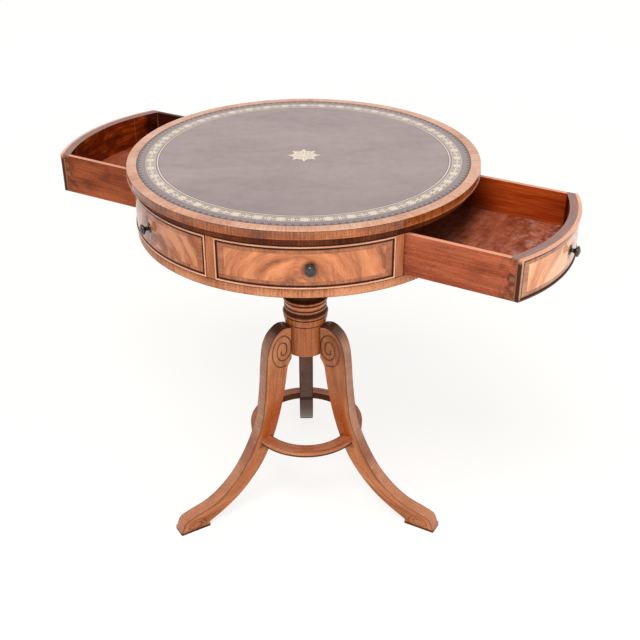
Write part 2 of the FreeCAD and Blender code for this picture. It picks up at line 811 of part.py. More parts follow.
# Ring stretcher, let into the notches of the legs
ring_section = [
    (float(radius), float(level))
    for radius, level in (
        (ring_inner_radius, ring_underside),
        (ring_outer_radius, ring_underside),
        (ring_outer_radius, ring_top),
        (ring_inner_radius, ring_top),
    )
]
stretcher = turned("ring_blank", polygon(ring_section))
ring_edges = [
    f"Edge{count}" for count, edge in enumerate(stretcher.Shape.Edges, 1) if len(edge.Vertexes) == 1
]
keep(eased(stretcher, ring_edges, size.ring_edge_easing), "ring_stretcher")

# Pillar: a plain shaft between the legs, then from below two cup-shaped collars with thin rims and
# a hollow neck between them, a vase and a necking. The lines and the arcs follow each other, in
# shares of the shaft's radius and of the height up to the bearer block
PROFILE_SHARES = [
    ("lines", [(1.0, 0.0), (1.026, 0.0), (1.026, 0.0132)]),
    ("arc", [(1.026, 0.0132), (1.071, 0.05), (1.087, 0.0925)]),
    ("arc", [(1.087, 0.0925), (1.105, 0.1035), (1.087, 0.1145)]),
    ("lines", [(1.087, 0.1145), (1.015, 0.149), (1.015, 0.158), (1.036, 0.163), (1.036, 0.1795)]),
    ("arc", [(1.036, 0.1795), (1.003, 0.205), (1.046, 0.2325)]),
    ("arc", [(1.046, 0.2325), (1.075, 0.246), (1.087, 0.259)]),
    ("arc", [(1.087, 0.259), (1.103, 0.268), (1.087, 0.277)]),
    ("lines", [(1.087, 0.277), (0.923, 0.305)]),
    ("arc", [(0.923, 0.305), (1.05, 0.46), (0.82, 0.68)]),
    ("lines", [(0.82, 0.68), (0.615, 0.86), (0.72, 0.86), (0.72, 0.91), (0.64, 0.91), (0.95, 1.0)]),
]
SHAFT_TOP_SHARE = 0.9975
SHAFT_EDGE_SHARE = 0.06


def pillar():
    """Turned pillar with housings for the legs and a tenon on top for the bearer block."""
    shaft_top = size.leg_height * SHAFT_TOP_SHARE
    rise = pillar_top - shaft_top
    radius, low, high = float(size.pillar_radius), float(pillar_bottom), float(shaft_top)
    easing = radius * SHAFT_EDGE_SHARE

    def points(shares):
        return [(radius * wide, float(shaft_top + rise * up)) for wide, up in shares]

    foot = [(0, low), (radius - easing, low), (radius, low + easing), (radius, high)]
    edges = path(foot)
    for kind, shares in PROFILE_SHARES:
        edges += [arc(*points(shares))] if kind == "arc" else path(points(shares))
    tenon, top = float(size.tenon_radius), float(drum_bottom)
    shoulder = points(PROFILE_SHARES[-1][1])[-1]
    edges += path([shoulder, (tenon, float(pillar_top)), (tenon, top), (0, top), (0, low)])
    return cut("pillar", turned("pillar_blank", edges), *housings)


keep(pillar(), "pillar")
bearer = disc("bearer_blank", size.bearer_radius, pillar_top, drum_bottom)
mortise_radius = size.tenon_radius + size.fit_clearance
mortise = disc("mortise", mortise_radius, pillar_top - size.overrun, drum_bottom + size.overrun)
keep(cut("bearer_block", bearer, mortise, bearer_holes), "bearer_block")

# Every piece is checked before it is written
doc.recompute()
for item in doc.Objects:
    if "Invalid" in item.State or "Error" in item.State:
        raise RuntimeError(f"{item.Name} failed: {item.State}")
os.makedirs("parts", exist_ok=True)
for item in parts:
    if item.Shape.isNull() or not item.Shape.isValid() or not item.Shape.Solids:
        raise RuntimeError(f"{item.Label} has no sound shape")
for item in parts:
    item.Shape.exportStep(f"parts/{item.Label}.step")
print(f"{len(parts)} nodes written")
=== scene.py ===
import json
import math

import bmesh
import bpy
import numpy as np
from mathutils import Matrix, Vector

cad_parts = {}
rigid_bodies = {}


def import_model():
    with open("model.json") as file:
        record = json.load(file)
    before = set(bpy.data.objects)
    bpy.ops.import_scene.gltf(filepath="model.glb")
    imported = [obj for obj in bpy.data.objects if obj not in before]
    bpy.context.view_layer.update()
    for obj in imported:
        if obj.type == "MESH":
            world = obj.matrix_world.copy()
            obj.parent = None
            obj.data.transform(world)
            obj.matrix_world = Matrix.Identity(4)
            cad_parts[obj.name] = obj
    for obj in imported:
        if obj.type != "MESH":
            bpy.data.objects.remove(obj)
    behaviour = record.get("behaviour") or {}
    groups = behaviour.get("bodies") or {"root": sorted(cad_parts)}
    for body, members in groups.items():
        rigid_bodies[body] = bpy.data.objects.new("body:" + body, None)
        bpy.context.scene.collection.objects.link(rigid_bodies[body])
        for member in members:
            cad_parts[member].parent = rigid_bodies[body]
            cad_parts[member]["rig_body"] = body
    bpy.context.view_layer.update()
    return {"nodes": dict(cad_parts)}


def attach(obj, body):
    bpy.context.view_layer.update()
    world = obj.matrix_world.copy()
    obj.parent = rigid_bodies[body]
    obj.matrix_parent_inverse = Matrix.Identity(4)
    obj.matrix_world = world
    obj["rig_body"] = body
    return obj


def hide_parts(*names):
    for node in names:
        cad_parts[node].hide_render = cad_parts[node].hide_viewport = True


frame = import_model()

# Looks of the drum table. Lengths of the table are written in millimetres and turned into metres
# by MM where a mesh or a finish takes them. The front faces -Y and +Z is up.
MM = 0.001
TOP_RADIUS = 305.0
TOP_LEVEL = 729.0
DRUM_RADIUS = 295.5
OPENING_LOW = 625.0
OPENING_HIGH = 698.0
FRONT_MIDDLE = 661.5
STILE_WIDTH = 16.0
DRAWER_HALF = 138.57
DRAWER_LOW = 625.3
DRAWER_HIGH = 697.0
OPENING_HALF_ANGLE = math.radians(30) - math.asin(STILE_WIDTH / 2 / DRUM_RADIUS)
LEG_HALF = 14.0
LEG_AXES = {"left": -150, "right": -30, "rear": 90}
DRAWER_AXES = {"right": -30, "left": 150}
DRAWER_OUT = {"right": 187.087, "left": 172.063}
KNOB_TURNS = {"front": 1.5}
DUMMY_AXES = {"front": -90, "left": -150, "right": 30, "rear": 90}
STILE_AXES = {"front_left": -120, "rear_right": 60, "right": 0, "front_right": -60, "left": 180, "rear_left": 120}


# Shaders


def tint(colour):
    """A colour written from 0 to 255, as a photograph shows it, turned into the linear colour of a
    finish. Anything but three numbers stays as it is."""
    if not isinstance(colour, tuple) or len(colour) != 3:
        return colour
    shown = np.array(colour) / 255
    linear = np.where(shown <= 0.04045, shown / 12.92, ((shown + 0.055) / 1.055) ** 2.4)
    return (*linear.tolist(), 1.0)


class Value:
    """A number, vector or colour of a finish, as a socket; arithmetic on it adds Math nodes."""

    def __init__(self, finish, socket):
        self.finish = finish
        self.socket = socket

    def __add__(self, other):
        return maths("ADD", self, other)

    def __radd__(self, other):
        return maths("ADD", other, self)

    def __sub__(self, other):
        return maths("SUBTRACT", self, other)

    def __rsub__(self, other):
        return maths("SUBTRACT", other, self)

    def __mul__(self, other):
        return maths("MULTIPLY", self, other)

    def __truediv__(self, other):
        return maths("DIVIDE", self, other)

    def __abs__(self):
        return maths("ABSOLUTE", self)


class Finish:
    """A material, or the world: its nodes are added one by one and end in an output."""

    def __init__(self, name, owner=None):
        self.material = owner or bpy.data.materials.new(name)
        self.material.use_nodes = True
        self.tree = self.material.node_tree
        self.tree.nodes.clear()

    def node(self, kind, settings=None, inputs=None, output=0):
        """Adds a node of a type, with its settings first and then its sockets' values or links."""
        item = self.tree.nodes.new("ShaderNode" + kind)
        for name, setting in (settings or {}).items():
            if name == "stops":
                elements = item.color_ramp.elements
                while len(elements) < len(setting):
                    elements.new(0.5)
                for element, (place, colour) in zip(elements, setting):
                    element.position = place
                    element.color = colour
            else:
                setattr(item, name, setting)
        for name, content in (inputs or {}).items():
            if isinstance(content, Value):
                self.tree.links.new(content.socket, item.inputs[name])
            else:
                item.inputs[name].default_value = content
        return Value(self, item.outputs[output]) if item.outputs else None

    def place(self):
        """Place in the object's own frame, in metres."""
        return self.node("TexCoord", output="Object")

    def board(self):
        """Place on the piece: along its grain, across it and through it, in metres."""
        return self.node("Attribute", {"attribute_name": "board"}, output="Vector")

    def worn(self):
        """Attribute that is 1 in carved lines and crevices and where shade is painted, and below 0 where a bead is
        dusty and where highlights are painted.
        """
        return self.node("Attribute", {"attribute_name": "worn"}, output="Fac")

    def surface(self, colour, roughness, normal, coat=0, coat_roughness=0.03, specular=0.5, metal=0, bend=1.5):
        """Ends the finish; bend is the coat's index of refraction."""
        sockets = {"Base Color": colour, "Roughness": roughness, "Normal": normal, "Metallic": metal}
        sockets |= {"Specular IOR Level": specular, "Coat Weight": coat}
        sockets |= {"Coat Roughness": coat_roughness, "Coat IOR": bend}
        self.node("OutputMaterial", inputs={"Surface": self.node("BsdfPrincipled", inputs=sockets)})
        return self.material


def linked(kind, settings, inputs, output=0):
    """A node in the finish of the first value among its inputs."""
    finish = next(content.finish for content in inputs.values() if isinstance(content, Value))
    return finish.node(kind, settings, inputs, output)


def maths(operation, *values):
    return linked("Math", {"operation": operation}, dict(enumerate(values)))


def largest(first, *others):
    for other in others:
        first = maths("MAXIMUM", first, other)
    return first


def diagonal(one, two):
    """Length of the diagonal of a rectangle with these sides."""
    return maths("SQRT", one * one + two * two)


def parts(vector):
    split = linked("SeparateXYZ", {}, {0: vector}).socket.node
    return [Value(vector.finish, split.outputs[count]) for count in range(3)]


def joined(x, y, z):
    return linked("CombineXYZ", {}, {0: x, 1: y, 2: z})


def stretched(vector, scale, shift=(0, 0, 0)):
    moved = linked("VectorMath", {"operation": "ADD"}, {0: vector, 1: shift})
    return linked("VectorMath", {"operation": "MULTIPLY"}, {0: moved, 1: scale})


def noise(vector, scale=1, detail=4, rough=0.55, distortion=0):
    """Noise at a vector, or at three values joined to one."""
    if isinstance(vector, tuple):
        vector = joined(*vector)
    sockets = {"Vector": vector, "Scale": scale, "Detail": detail}
    return linked("TexNoise", {}, {**sockets, "Roughness": rough, "Distortion": distortion})


def smooth(value, low, high):
    """0 below low, 1 above high, and a soft step between them; the two may be swapped."""
    if low > high:
        return 1 - smooth(value, high, low)
    return linked("MapRange", {"interpolation_type": "SMOOTHSTEP"}, {0: value, 1: low, 2: high})


def stripe(value, middle, wide, narrow):
    """1 where the value is within narrow of the middle, 0 where it is farther off than wide."""
    return smooth(abs(value - middle), wide, narrow)


def mix(factor, first, second):
    settings = {"data_type": "RGBA", "clamp_factor": True}
    return linked("Mix", settings, {0: factor, 6: tint(first), 7: tint(second)}, 2)


def ramp(value, spread, *colours, centre=0.5):
    """Colours at even steps of the value, from centre - spread to centre + spread."""
    places = np.linspace(centre - spread, centre + spread, len(colours)).tolist()
    return linked("ValToRGB", {"stops": [*zip(places, map(tint, colours))]}, {0: value})


def flecked(colour, speck, dark, light, start, stop, much, bright):
    """Dark flecks where a noise is high and pale ones where it is low."""
    colour = mix(smooth(speck, start, stop) * much, colour, dark)
    return mix(smooth(speck, 0.46, 0.34) * bright, colour, light)


def bump(height, strength, distance=0.0004):
    return linked("Bump", {}, {"Height": height, "Strength": strength, "Distance": distance})


def streaks(place, seed, fine=1):
    """Grain of a board: three noises stretched along it, from broad figure to single pores."""
    shift = (seed, seed * 1.7, seed * 0.6)
    broad = noise(stretched(place, (5, 38 * fine, 38 * fine), shift), detail=3, distortion=0.6)
    lines = noise(stretched(place, (14, 320 * fine, 320 * fine), shift), detail=5, rough=0.65)
    pores = noise(stretched(place, (90, 1500 * fine, 1500 * fine), shift), detail=2)
    return broad, lines, pores


def plain_wood(name, light, middle, dark, seed, roughness=0.4, coat=0.6, own=True, edge=None, marked_tone=None):
    """Straight-grained polished wood; edge is the half width, in metres, beyond which the edges are dark
    with grime and painted shade, and marked_tone the tone of the places that are marked below zero."""
    finish = Finish(name)
    place = finish.board() if own else finish.place()
    broad, lines, pores = streaks(place, seed)
    colour = ramp(broad * 0.45 + lines * 0.55, 0.18, dark, middle, light)
    pore = smooth(pores, 0.36, 0.24)
    colour = mix(pore * 0.55, colour, dark)
    patch = noise(stretched(place, (9, 13, 13), (seed, 3, 1)), detail=4)
    colour = mix(smooth(patch, 0.52, 0.7) * 0.35, colour, dark)
    speck = noise(place, 520, 3, 0.65)
    colour = flecked(colour, speck, dark, light, 0.52, 0.64, 0.4, 0.35)
    mark = finish.worn() if own else pore * 0
    # below zero: painted highlights on the pillar, dust on the drawers' beads
    colour = mix(smooth(mark, -0.1, -0.9), colour, marked_tone or (232, 172, 132))
    # grime and painted shade: crevices, the shaded faces of the pillar and ring, the beads' flanks and the stiles'
    # edges
    dirt_and_shade = largest(mark, 0)
    if edge:
        dirt_and_shade = largest(dirt_and_shade, smooth(abs(parts(place)[1]), edge - 0.0014, edge) * 0.85)
    colour = mix(dirt_and_shade, colour, (44, 15, 4))
    rough = roughness + (lines - 0.5) * 0.25 + pore * 0.15 + dirt_and_shade * 0.3
    normal = bump(lines * 0.6 - pore * 0.7, 0.25)
    polish = (1 - dirt_and_shade * 0.9) * coat
    return finish.surface(colour, rough, normal, polish, 0.1, 0.06)


def banded_wood(name, light, middle, dark, seed, joint, lines_at, radial=False, lift=None, coat=0.6):
    """Cross-banding: short lengths of veneer round the table, with their grain up or outwards. Each
    dark line is given by its level, half its width and its strength; lift is a level, a second level
    and how much lighter the tone is at the second."""
    finish = Finish(name)
    east, north, up = parts(finish.place())
    angle = maths("ARCTAN2", north, east)
    reach = diagonal(east, north)
    run = angle * (DRUM_RADIUS * MM)
    along = reach if radial else up
    place = joined(along, run, 0)
    broad, lines, pores = streaks(place, seed)
    length = run / joint
    number = maths("FLOOR", length + noise((along, 0, seed), 30) * 0.02)
    segment = finish.node("TexWhiteNoise", {"noise_dimensions": "1D"}, {"W": number + seed})
    cloud = noise((along * 20, run * 14, seed), 1, 4)
    tone = broad * 0.2 + lines * 0.4 + cloud * 0.4 + (segment - 0.5) * 0.07
    if lift:
        tone = tone + (smooth(along, lift[0] * MM, lift[1] * MM) - 0.5) * lift[2]
    colour = ramp(tone, 0.12, dark, middle, light)
    if radial:
        cast = noise((along * 40, run * 7, seed + 2), 1, 3)
        colour = mix(smooth(cast, 0.44, 0.66) * 0.5, colour, (212, 180, 156))
        colour = mix(smooth(cast, 0.46, 0.3) * 0.35, colour, (214, 144, 110))
    seam = smooth(abs(maths("FRACT", length) - 0.5), 0.488, 0.497)
    pore = smooth(pores, 0.40, 0.28)
    fleck = noise((along * 150, run * 620, seed + 5), 1, 3, 0.6)
    colour = flecked(colour, fleck, dark, light, 0.50, 0.64, 0.45, 0.4)
    colour = mix(seam * 0.4 + pore * 0.45, colour, dark)
    dirt_and_shade = pore * 0
    # dark lines: joints and edges, some of them painted shade under a lip, the top's overhang or a bead
    for level, half, strength in lines_at:
        dirt_and_shade = largest(dirt_and_shade, stripe(along, level * MM, half * MM, half * 0.4 * MM) * strength)
    colour = mix(dirt_and_shade, colour, (44, 14, 4))
    rough = 0.4 + (lines - 0.5) * 0.25 + pore * 0.1
    normal = bump(lines * 0.5 - pore * 0.6 - seam * 0.5, 0.22)
    return finish.surface(colour, rough, normal, (1 - dirt_and_shade) * coat, 0.1, 0.06)


def flame_veneer(name, seed, light, middle, dark, half, band, centre=0, contrast=1, knob=0):
    """A front: matched flame figure inside a fine line and a cross-banded border. The figure runs in
    arches round a point under the middle, like a feather that opens downwards."""
    finish = Finish(name)
    along, up, out = parts(finish.board())
    from_end = half - abs(along)
    from_edge = 0.0365 - abs(up)
    wave = (noise((along, up, seed), 14, 3) - 0.5) * 0.036
    across = (along - centre) * 0.95
    rise = up + 0.042
    arch = diagonal(across, rise) + wave
    drift = maths("ARCTAN2", rise, across)
    figure = noise((arch * 46, drift * 0.7, seed), 1, 2, 0.45, 0.2)
    fine = noise((arch * 420, drift * 4, seed), 1, 3, 0.6)
    speck = noise((along * 700, up * 700, seed), 1, 3, 0.7)
    pores = noise((arch * 1800, drift * 20, seed), 1, 2)
    tone = 0.5 + (figure * 0.66 + fine * 0.26 + speck * 0.08 - 0.5) * contrast
    panel = ramp(tone, 0.12, dark, middle, light, centre=0.48)
    # border: grain across the border's run, mitred at the corners
    ends = maths("LESS_THAN", from_end, from_edge + 0.004)
    run = maths("MULTIPLY_ADD", ends, up - along, along)
    cross = maths("MULTIPLY_ADD", ends, along - up, up)
    border_lines = noise((run * 420, cross * 14, seed), 1, 4, 0.6)
    border_broad = noise((run * 46, cross * 30, seed), 1, 3)
    tone = border_lines * 0.4 + border_broad * 0.4 + figure * 0.2
    border = ramp(tone, 0.12, *band)
    fleck = noise((run * 620, cross * 150, seed), 1, 3, 0.6)
    border = mix(smooth(fleck, 0.5, 0.64) * 0.4, border, band[0])
    edge = maths("MINIMUM", from_end - 0.017, from_edge - 0.0125)
    colour = mix(smooth(edge, -0.0002, 0.0002), border, panel)
    line = stripe(edge, 0, 0.0007, 0.0003)
    colour = mix(line * 0.3, colour, (110, 54, 28))
    pore = smooth(pores, 0.36, 0.25)
    colour = mix(pore * 0.2, colour, dark)
    # grime and painted shade in the corner between the front and its bead
    near = maths("MINIMUM", from_end, from_edge) - 0.0032
    dirt_and_shade = smooth(near, 0.0045, 0.0022) * 0.95
    colour = mix(dirt_and_shade, colour, (40, 12, 3))
    # painted shadow of the knob: the front is darker round the knob, most of all below it
    knob_shadow_distance = diagonal(along - knob, up + 0.002)
    colour = mix(smooth(knob_shadow_distance, 0.0165, 0.0105) * 0.6, colour, (98, 44, 14))
    # the upper edge and what is behind the veneer are plain
    back = smooth(out, -0.0004, -0.0008)
    broad, lines, _ = streaks(finish.board(), seed)
    patch = noise(stretched(finish.board(), (26, 46, 0), (seed, 0, 0)), 1, 4, 0.6)
    wood = ramp(broad * 0.15 + lines * 0.25 + patch * 0.6, 0.14, (66, 18, 3), (132, 46, 8), (200, 94, 34))
    wood = mix(stripe(along, -0.0886, 0.0012, 0.0006) * 0.6, wood, (186, 96, 44))
    # painted shade in the corners at both ends of the front's inner face
    wood = mix(smooth(abs(along), 0.108, 0.124) * 0.85, wood, (22, 5, 2))
    crown = smooth(up, 0.0351, 0.0354)
    dusty = mix(lines, (124, 92, 86), (180, 148, 140))
    colour = mix(back, colour, wood)
    colour = mix(smooth(from_end, 0.0002, -0.0004), colour, mix(lines, (92, 48, 28), (178, 118, 86)))
    colour = mix(crown, colour, dusty)
    rough = 0.3 + (fine - 0.5) * 0.15 + largest(back, crown) * 0.2
    normal = bump(fine * 0.3 - pore * 0.4 - line * 0.4, 0.1)
    coat = 1 - largest(back, crown, dirt_and_shade) * 0.95
    return finish.surface(colour, rough, normal, coat, 0.05, 0.06, bend=1.45)


def tooled_leather(name):
    """Waxed hide with blind and gilt tooling, all drawn from the distance and the azimuth."""
    finish = Finish(name)
    place = finish.place()
    east, north, _ = parts(place)
    angle = maths("ARCTAN2", north, east)
    reach = diagonal(east, north)
    cloud = noise(stretched(place, (7, 16, 1)), 1, 5, 0.6, 0.4)
    mottle = noise(place, 60, 4, 0.6)
    tone = cloud * 0.6 + mottle * 0.4
    hide = ramp(tone, 0.14, (147, 130, 128), (158, 142, 140), (168, 149, 147))
    hide = mix(smooth(reach, 0.2725, 0.2745), hide, (146, 132, 130))
    hide = mix(smooth(north, -0.06, -0.25) * 0.24, hide, (96, 84, 84))  # painted shade: the hide is darker towards the front
    # gilt band: round flowers and upright sprigs by turns, with scrolls from one to the next
    pace = 46
    share = maths("FRACT", angle * (pace / math.tau) + 100)
    run = (share - 0.5) * (math.tau * 0.2645 / pace)
    rise = reach - 0.2645

    def motif(across, petals, size, wave, core):
        """A flower: its radius is size + wave cos(petals t), with veins and a thin ring at its core."""
        turn = maths("ARCTAN2", rise, across)
        far = diagonal(across, rise)
        lobe = size + maths("COSINE", turn * petals) * wave
        form = smooth(far - lobe, 0.0005, -0.0004)
        veins = smooth(maths("SINE", turn * petals * 2), 0.55, 0.95)
        return form * (1 - veins * 0.5) * smooth(abs(far - core), 0.0001, 0.0007)

    flower = motif(run, 8, 0.0060, 0.0011, 0.0024)
    aside = abs(run)
    sprig = motif((aside - 0.01807) * 1.5, 6, 0.0047, 0.0016, 0.0016)
    bend = maths("SINE", aside * 350) * 0.0046
    vine = stripe(abs(rise), bend, 0.0013, 0.0006)
    leaf = smooth(diagonal((aside - 0.0102) * 0.75, rise), 0.0030, 0.0020)
    pearls = stripe(abs(rise), 0.0072, 0.0009, 0.0004)
    pearls = pearls * smooth(maths("SINE", angle * 552), -0.5, 0.4)
    gilt = largest(flower, sprig, vine, leaf)
    gilt = largest(gilt * smooth(abs(aside - 0.0095), 0, 0.0022), pearls * 0.7)
    gilt = largest(gilt, stripe(rise, 0, 0.0086, 0.0076) * 0.14)
    line = stripe(reach, 0.2522, 0.0011, 0.0006)
    line = line * (0.72 + smooth(maths("SINE", angle * 620), -0.3, 0.5) * 0.28)
    thin = stripe(reach, 0.2562, 0.0006, 0.0003) * 0.5
    # star in the middle: eight slender points on a lacy disc
    ray = abs(maths("FRACT", angle * (8 / math.tau) + 100.5) - 0.5) * 2
    star_edge = 0.0205 + smooth(ray, 0.42, 0) * 0.0072 - smooth(ray, 0.6, 1) * 0.0012
    star = smooth(reach - star_edge, 0.0007, -0.0005)
    petal = stripe(reach - maths("COSINE", angle * 8) * 0.003, 0.0135, 0.0009, 0.0003)
    eye = stripe(reach, 0.0055, 0.0009, 0.0003)
    spoke = smooth(maths("SINE", angle * 16), 0.5, 0.95) * smooth(reach, 0.006, 0.008)
    lace = largest(petal, eye, spoke * smooth(reach, 0.020, 0.017))
    star = star * (1 - lace * 0.7)
    gilt = largest(gilt, line, thin, star)
    marked_tone = noise(place, 420, 3, 0.7)
    gilt = gilt * (1 - smooth(marked_tone, 0.5, 0.72) * 0.5)
    # blind-tooled teeth round the edge, and dark lines beside the gilt
    tooth = abs(maths("FRACT", angle * (152 / math.tau) + 300) - 0.5)
    teeth = smooth(tooth * 0.016 - (reach - 0.2800), 0.0008, -0.0008)
    edge = smooth(reach, 0.2856, 0.2868)
    groove = stripe(reach, 0.2502, 0.0010, 0.0004) * 0.35
    groove = largest(groove, stripe(reach, 0.2547, 0.0009, 0.0004) * 0.4)
    dark = largest(teeth * 0.68, edge * 0.75, groove)
    colour = mix(dark, hide, (54, 42, 44))
    gold = mix(mottle, (230, 209, 180), (255, 242, 222))
    colour = mix(gilt, colour, gold)
    pebble = finish.node("TexVoronoi", {"feature": "DISTANCE_TO_EDGE"}, {"Vector": place, "Scale": 900})
    rough = 0.5 + (mottle - 0.5) * 0.2 - gilt * 0.12
    normal = bump(smooth(pebble, 0, 0.25) * 0.35 + cloud * 0.3 - largest(gilt, dark) * 0.8, 0.22, 0.0005)
    return finish.surface(colour, rough, normal, 0.25, 0.25, 0.35)


def dark_metal(name):
    """Knobs: dark turned metal, darker in their groove."""
    finish = Finish(name)
    place = finish.board()
    cloud = noise(place, 160, 4)
    turn = noise(stretched(place, (2400, 60, 60)), 1, 2)
    colour = ramp(cloud, 0.15, (24, 22, 21), (58, 53, 51))
    colour = mix(finish.worn(), colour, (14, 11, 10))
    rough = 0.26 + (cloud - 0.5) * 0.2
    normal = bump(turn, 0.08, 0.0002)
    return finish.surface(colour, rough, normal, 0.8, 0.12, metal=0.7)


def plain_steel(name):
    finish = Finish(name)
    cloud = noise(finish.place(), 300, 3)
    colour = ramp(cloud, 0.15, (96, 94, 90), (150, 148, 142))
    return finish.surface(colour, 0.35 + cloud * 0.2, bump(cloud, 0.1, 0.0002), metal=1)


def leg_wood(name, seed):
    """Legs: long grain that follows the curve on the sides, cross grain on the narrow faces."""
    finish = Finish(name)
    place = finish.board()
    along, wide, through = parts(place)
    level = parts(finish.place())[2]
    broad, lines, pores = streaks(place, seed)
    cloud = noise(stretched(place, (14, 30, 30), (seed, 5, 2)), detail=4)
    side = smooth(abs(through), 0.0132, 0.0137)
    tone = broad * 0.3 + lines * 0.35 + cloud * 0.35
    long_grain = ramp(tone, 0.12, (142, 76, 38), (192, 114, 66), (220, 146, 96))
    # painted shade and warm reflected light make the inner half deep orange above the ring
    glow = smooth(level, 0.150, 0.172) * smooth(level, 0.31, 0.19)
    glow = glow * smooth(wide + (cloud - 0.5) * 0.02, 0.004, 0.02)
    long_grain = mix(glow * 0.9, long_grain, mix(tone, (116, 36, 2), (212, 100, 24)))
    # dark patches round the ring's joint: glue stain and painted shade
    by_ring = stripe(level, 0.156, 0.016, 0.007) * smooth(wide, 0.012, 0.024)
    long_grain = mix(by_ring * smooth(cloud, 0.36, 0.56) * 0.8, long_grain, (66, 28, 10))
    hatch = noise((along * 520, through * 16, seed), 1, 4, 0.65)
    blot = noise((along * 24, through * 20, seed), 1, 3)
    tone = hatch * 0.6 + blot * 0.4
    cross_grain = ramp(tone, 0.12, (132, 82, 56), (188, 131, 99), (216, 160, 128))
    # the top of the scroll is darker: a darker finish in the painted shade of the drum
    cross_grain = mix(smooth(level, 0.372, 0.396) * 0.85, cross_grain, (58, 36, 26))
    stain = smooth(level + (blot - 0.5) * 0.03, 0.10, 0.125) * smooth(level, 0.175, 0.15)
    cross_grain = mix(stain * 0.6, cross_grain, (136, 60, 24))
    cross_grain = mix(smooth(level, 0.110, 0.07) * 0.7, cross_grain, mix(tone, (146, 78, 46), (226, 152, 108)))
    colour = mix(side, cross_grain, long_grain)
    pore = smooth(pores, 0.36, 0.24)
    colour = mix(pore * side * 0.4, colour, (100, 46, 20))
    sole = smooth(level, 0.0066, 0.0040)
    # painted shade: the narrow inner face is darker, with a painted shadow of the ring across it
    inner = smooth(wide, 0.02, 0.03) * (1 - side)
    under = inner * smooth(level, 0.147, 0.151) * smooth(level, 0.163, 0.158)
    dark_lines_and_shade = largest(finish.worn(), sole * 0.85, under * 0.8)
    speck = noise(place, 520, 3, 0.65)
    colour = flecked(colour, speck, (128, 66, 38), (226, 158, 118), 0.52, 0.64, 0.4, 0.3)
    colour = mix(inner * 0.8, colour, (64, 42, 34))
    colour = mix(dark_lines_and_shade, colour, (40, 16, 6))
    rough = 0.4 + (lines - 0.5) * 0.2
    normal = bump(lines * 0.5 - pore * 0.6, 0.22)
    polish = 0.5 - dark_lines_and_shade * 0.45
    return finish.surface(colour, rough, normal, polish, 0.12, 0.06)


def drawer_wood(name, seed, light, middle, dark, aged, reverse=False, shade=0):
    """Sides and backs of the drawers: plain red-brown wood, pale on the upper edge with wear and a painted
    highlight; the face that looks into the drawer keeps a deep orange polish, in painted shadow under the top.
    Aged tells the outer faces' dark stains and shade how dark the far side is painted in shade."""
    finish = Finish(name)
    place = finish.board()
    along, up, through = parts(place)
    broad, lines, pores = streaks(place, seed, 0.8)
    tone = broad * 0.55 + lines * 0.45
    colour = ramp(tone, 0.16, dark, middle, light)
    patch = noise(stretched(place, (14, 26, 26), (seed, 3, 1)), detail=5)
    colour = mix(smooth(patch, 0.5, 0.68) * (0.3 + aged * 0.4), colour, dark)
    colour = mix(smooth(patch, 0.46, 0.3) * 0.3, colour, light)
    speck = noise(stretched(place, (260, 620, 620), (seed, 0, 0)), 1, 3, 0.65)
    colour = flecked(colour, speck, dark, light, 0.5, 0.62, 0.35, 0.25)
    blot = noise(stretched(place, (60, 60, 60), (seed, 1, 4)), detail=4)
    soil = smooth(along + (blot - 0.5) * 0.05, 0.222, 0.25) * smooth(blot, 0.38, 0.62)
    colour = mix(soil * 0.75, colour, (66, 32, 20))
    deep = ramp(tone, 0.16, (104, 26, 2), (174, 66, 18), (208, 100, 42))
    # painted shadow of the top on the inner faces
    under = diagonal(along + 0.187, through)
    deep = mix(smooth(under, 0.36, 0.30) * 0.5, deep, (62, 14, 3))
    # painted shade of the far side
    deep = mix(shade, deep, (26, 9, 5))
    # the middle line of each side tells its inner face from its outer one
    inner = smooth(abs(through), (DRAWER_HALF - 3.4) * MM, (DRAWER_HALF - 3.6) * MM)
    colour = deep if reverse else mix(inner, colour, deep)
    pore = smooth(pores, 0.37, 0.25)
    colour = mix(pore * 0.4, colour, dark)
    # the upper edge is pale with wear and a painted highlight
    rim = smooth(up, 0.6961, 0.6965)
    colour = mix(rim * 0.85, colour, (240, 168, 134))
    # the far side's upper edge in painted shade
    if shade:
        colour = mix(rim * smooth(through, 0, -0.01), colour, (84, 52, 44))
    rough = 0.46 + (lines - 0.5) * 0.25
    normal = bump(lines * 0.6 - pore * 0.7, 0.28)
    return finish.surface(colour, rough, normal, 0.08, 0.25, 0.1)


def drawer_floor(name, seed, wear):
    """Bottoms of the drawers: stained board, pale with wear, and darker in a painted shadow under the top."""
    finish = Finish(name)
    place = finish.board()
    across, out, _ = parts(place)
    broad, lines, _ = streaks(place, seed, 0.7)
    base = ramp(broad * 0.6 + lines * 0.4, 0.16, (110, 42, 20), (150, 72, 45), (184, 100, 69))
    blotch = noise(place, 62, 8, 0.78, 0.3)
    pale = smooth(blotch, 0.47, 0.62) * (0.2 + smooth(out, 0.15, 0.24) * 0.6) * wear
    colour = mix(pale, base, (206, 156, 144))
    colour = mix(smooth(blotch, 0.47, 0.34) * 0.6, colour, (96, 26, 8))
    # painted shadow of the top
    under = diagonal(out + 0.187, across)
    colour = mix(smooth(under, 0.318, 0.282) * 0.5, colour, (22, 6, 2))
    rough = 0.5 + (lines - 0.5) * 0.25
    normal = bump(lines, 0.2)
    return finish.surface(colour, rough, normal, 0.05, 0.3, 0.1)


# Shapes


def placed(name, data):
    """A new object of the scene."""
    item = bpy.data.objects.new(name, data)
    bpy.context.scene.collection.objects.link(item)
    return item


def marked(mesh, name, values):
    """Writes a number or a vector for each point of a mesh."""
    vector = values.shape[-1] == 3 and values.ndim > 1
    item = mesh.attributes.new(name, "FLOAT_VECTOR" if vector else "FLOAT", "POINT")
    values = np.ascontiguousarray(values, np.float32).reshape(-1)
    item.data.foreach_set("vector" if vector else "value", values)


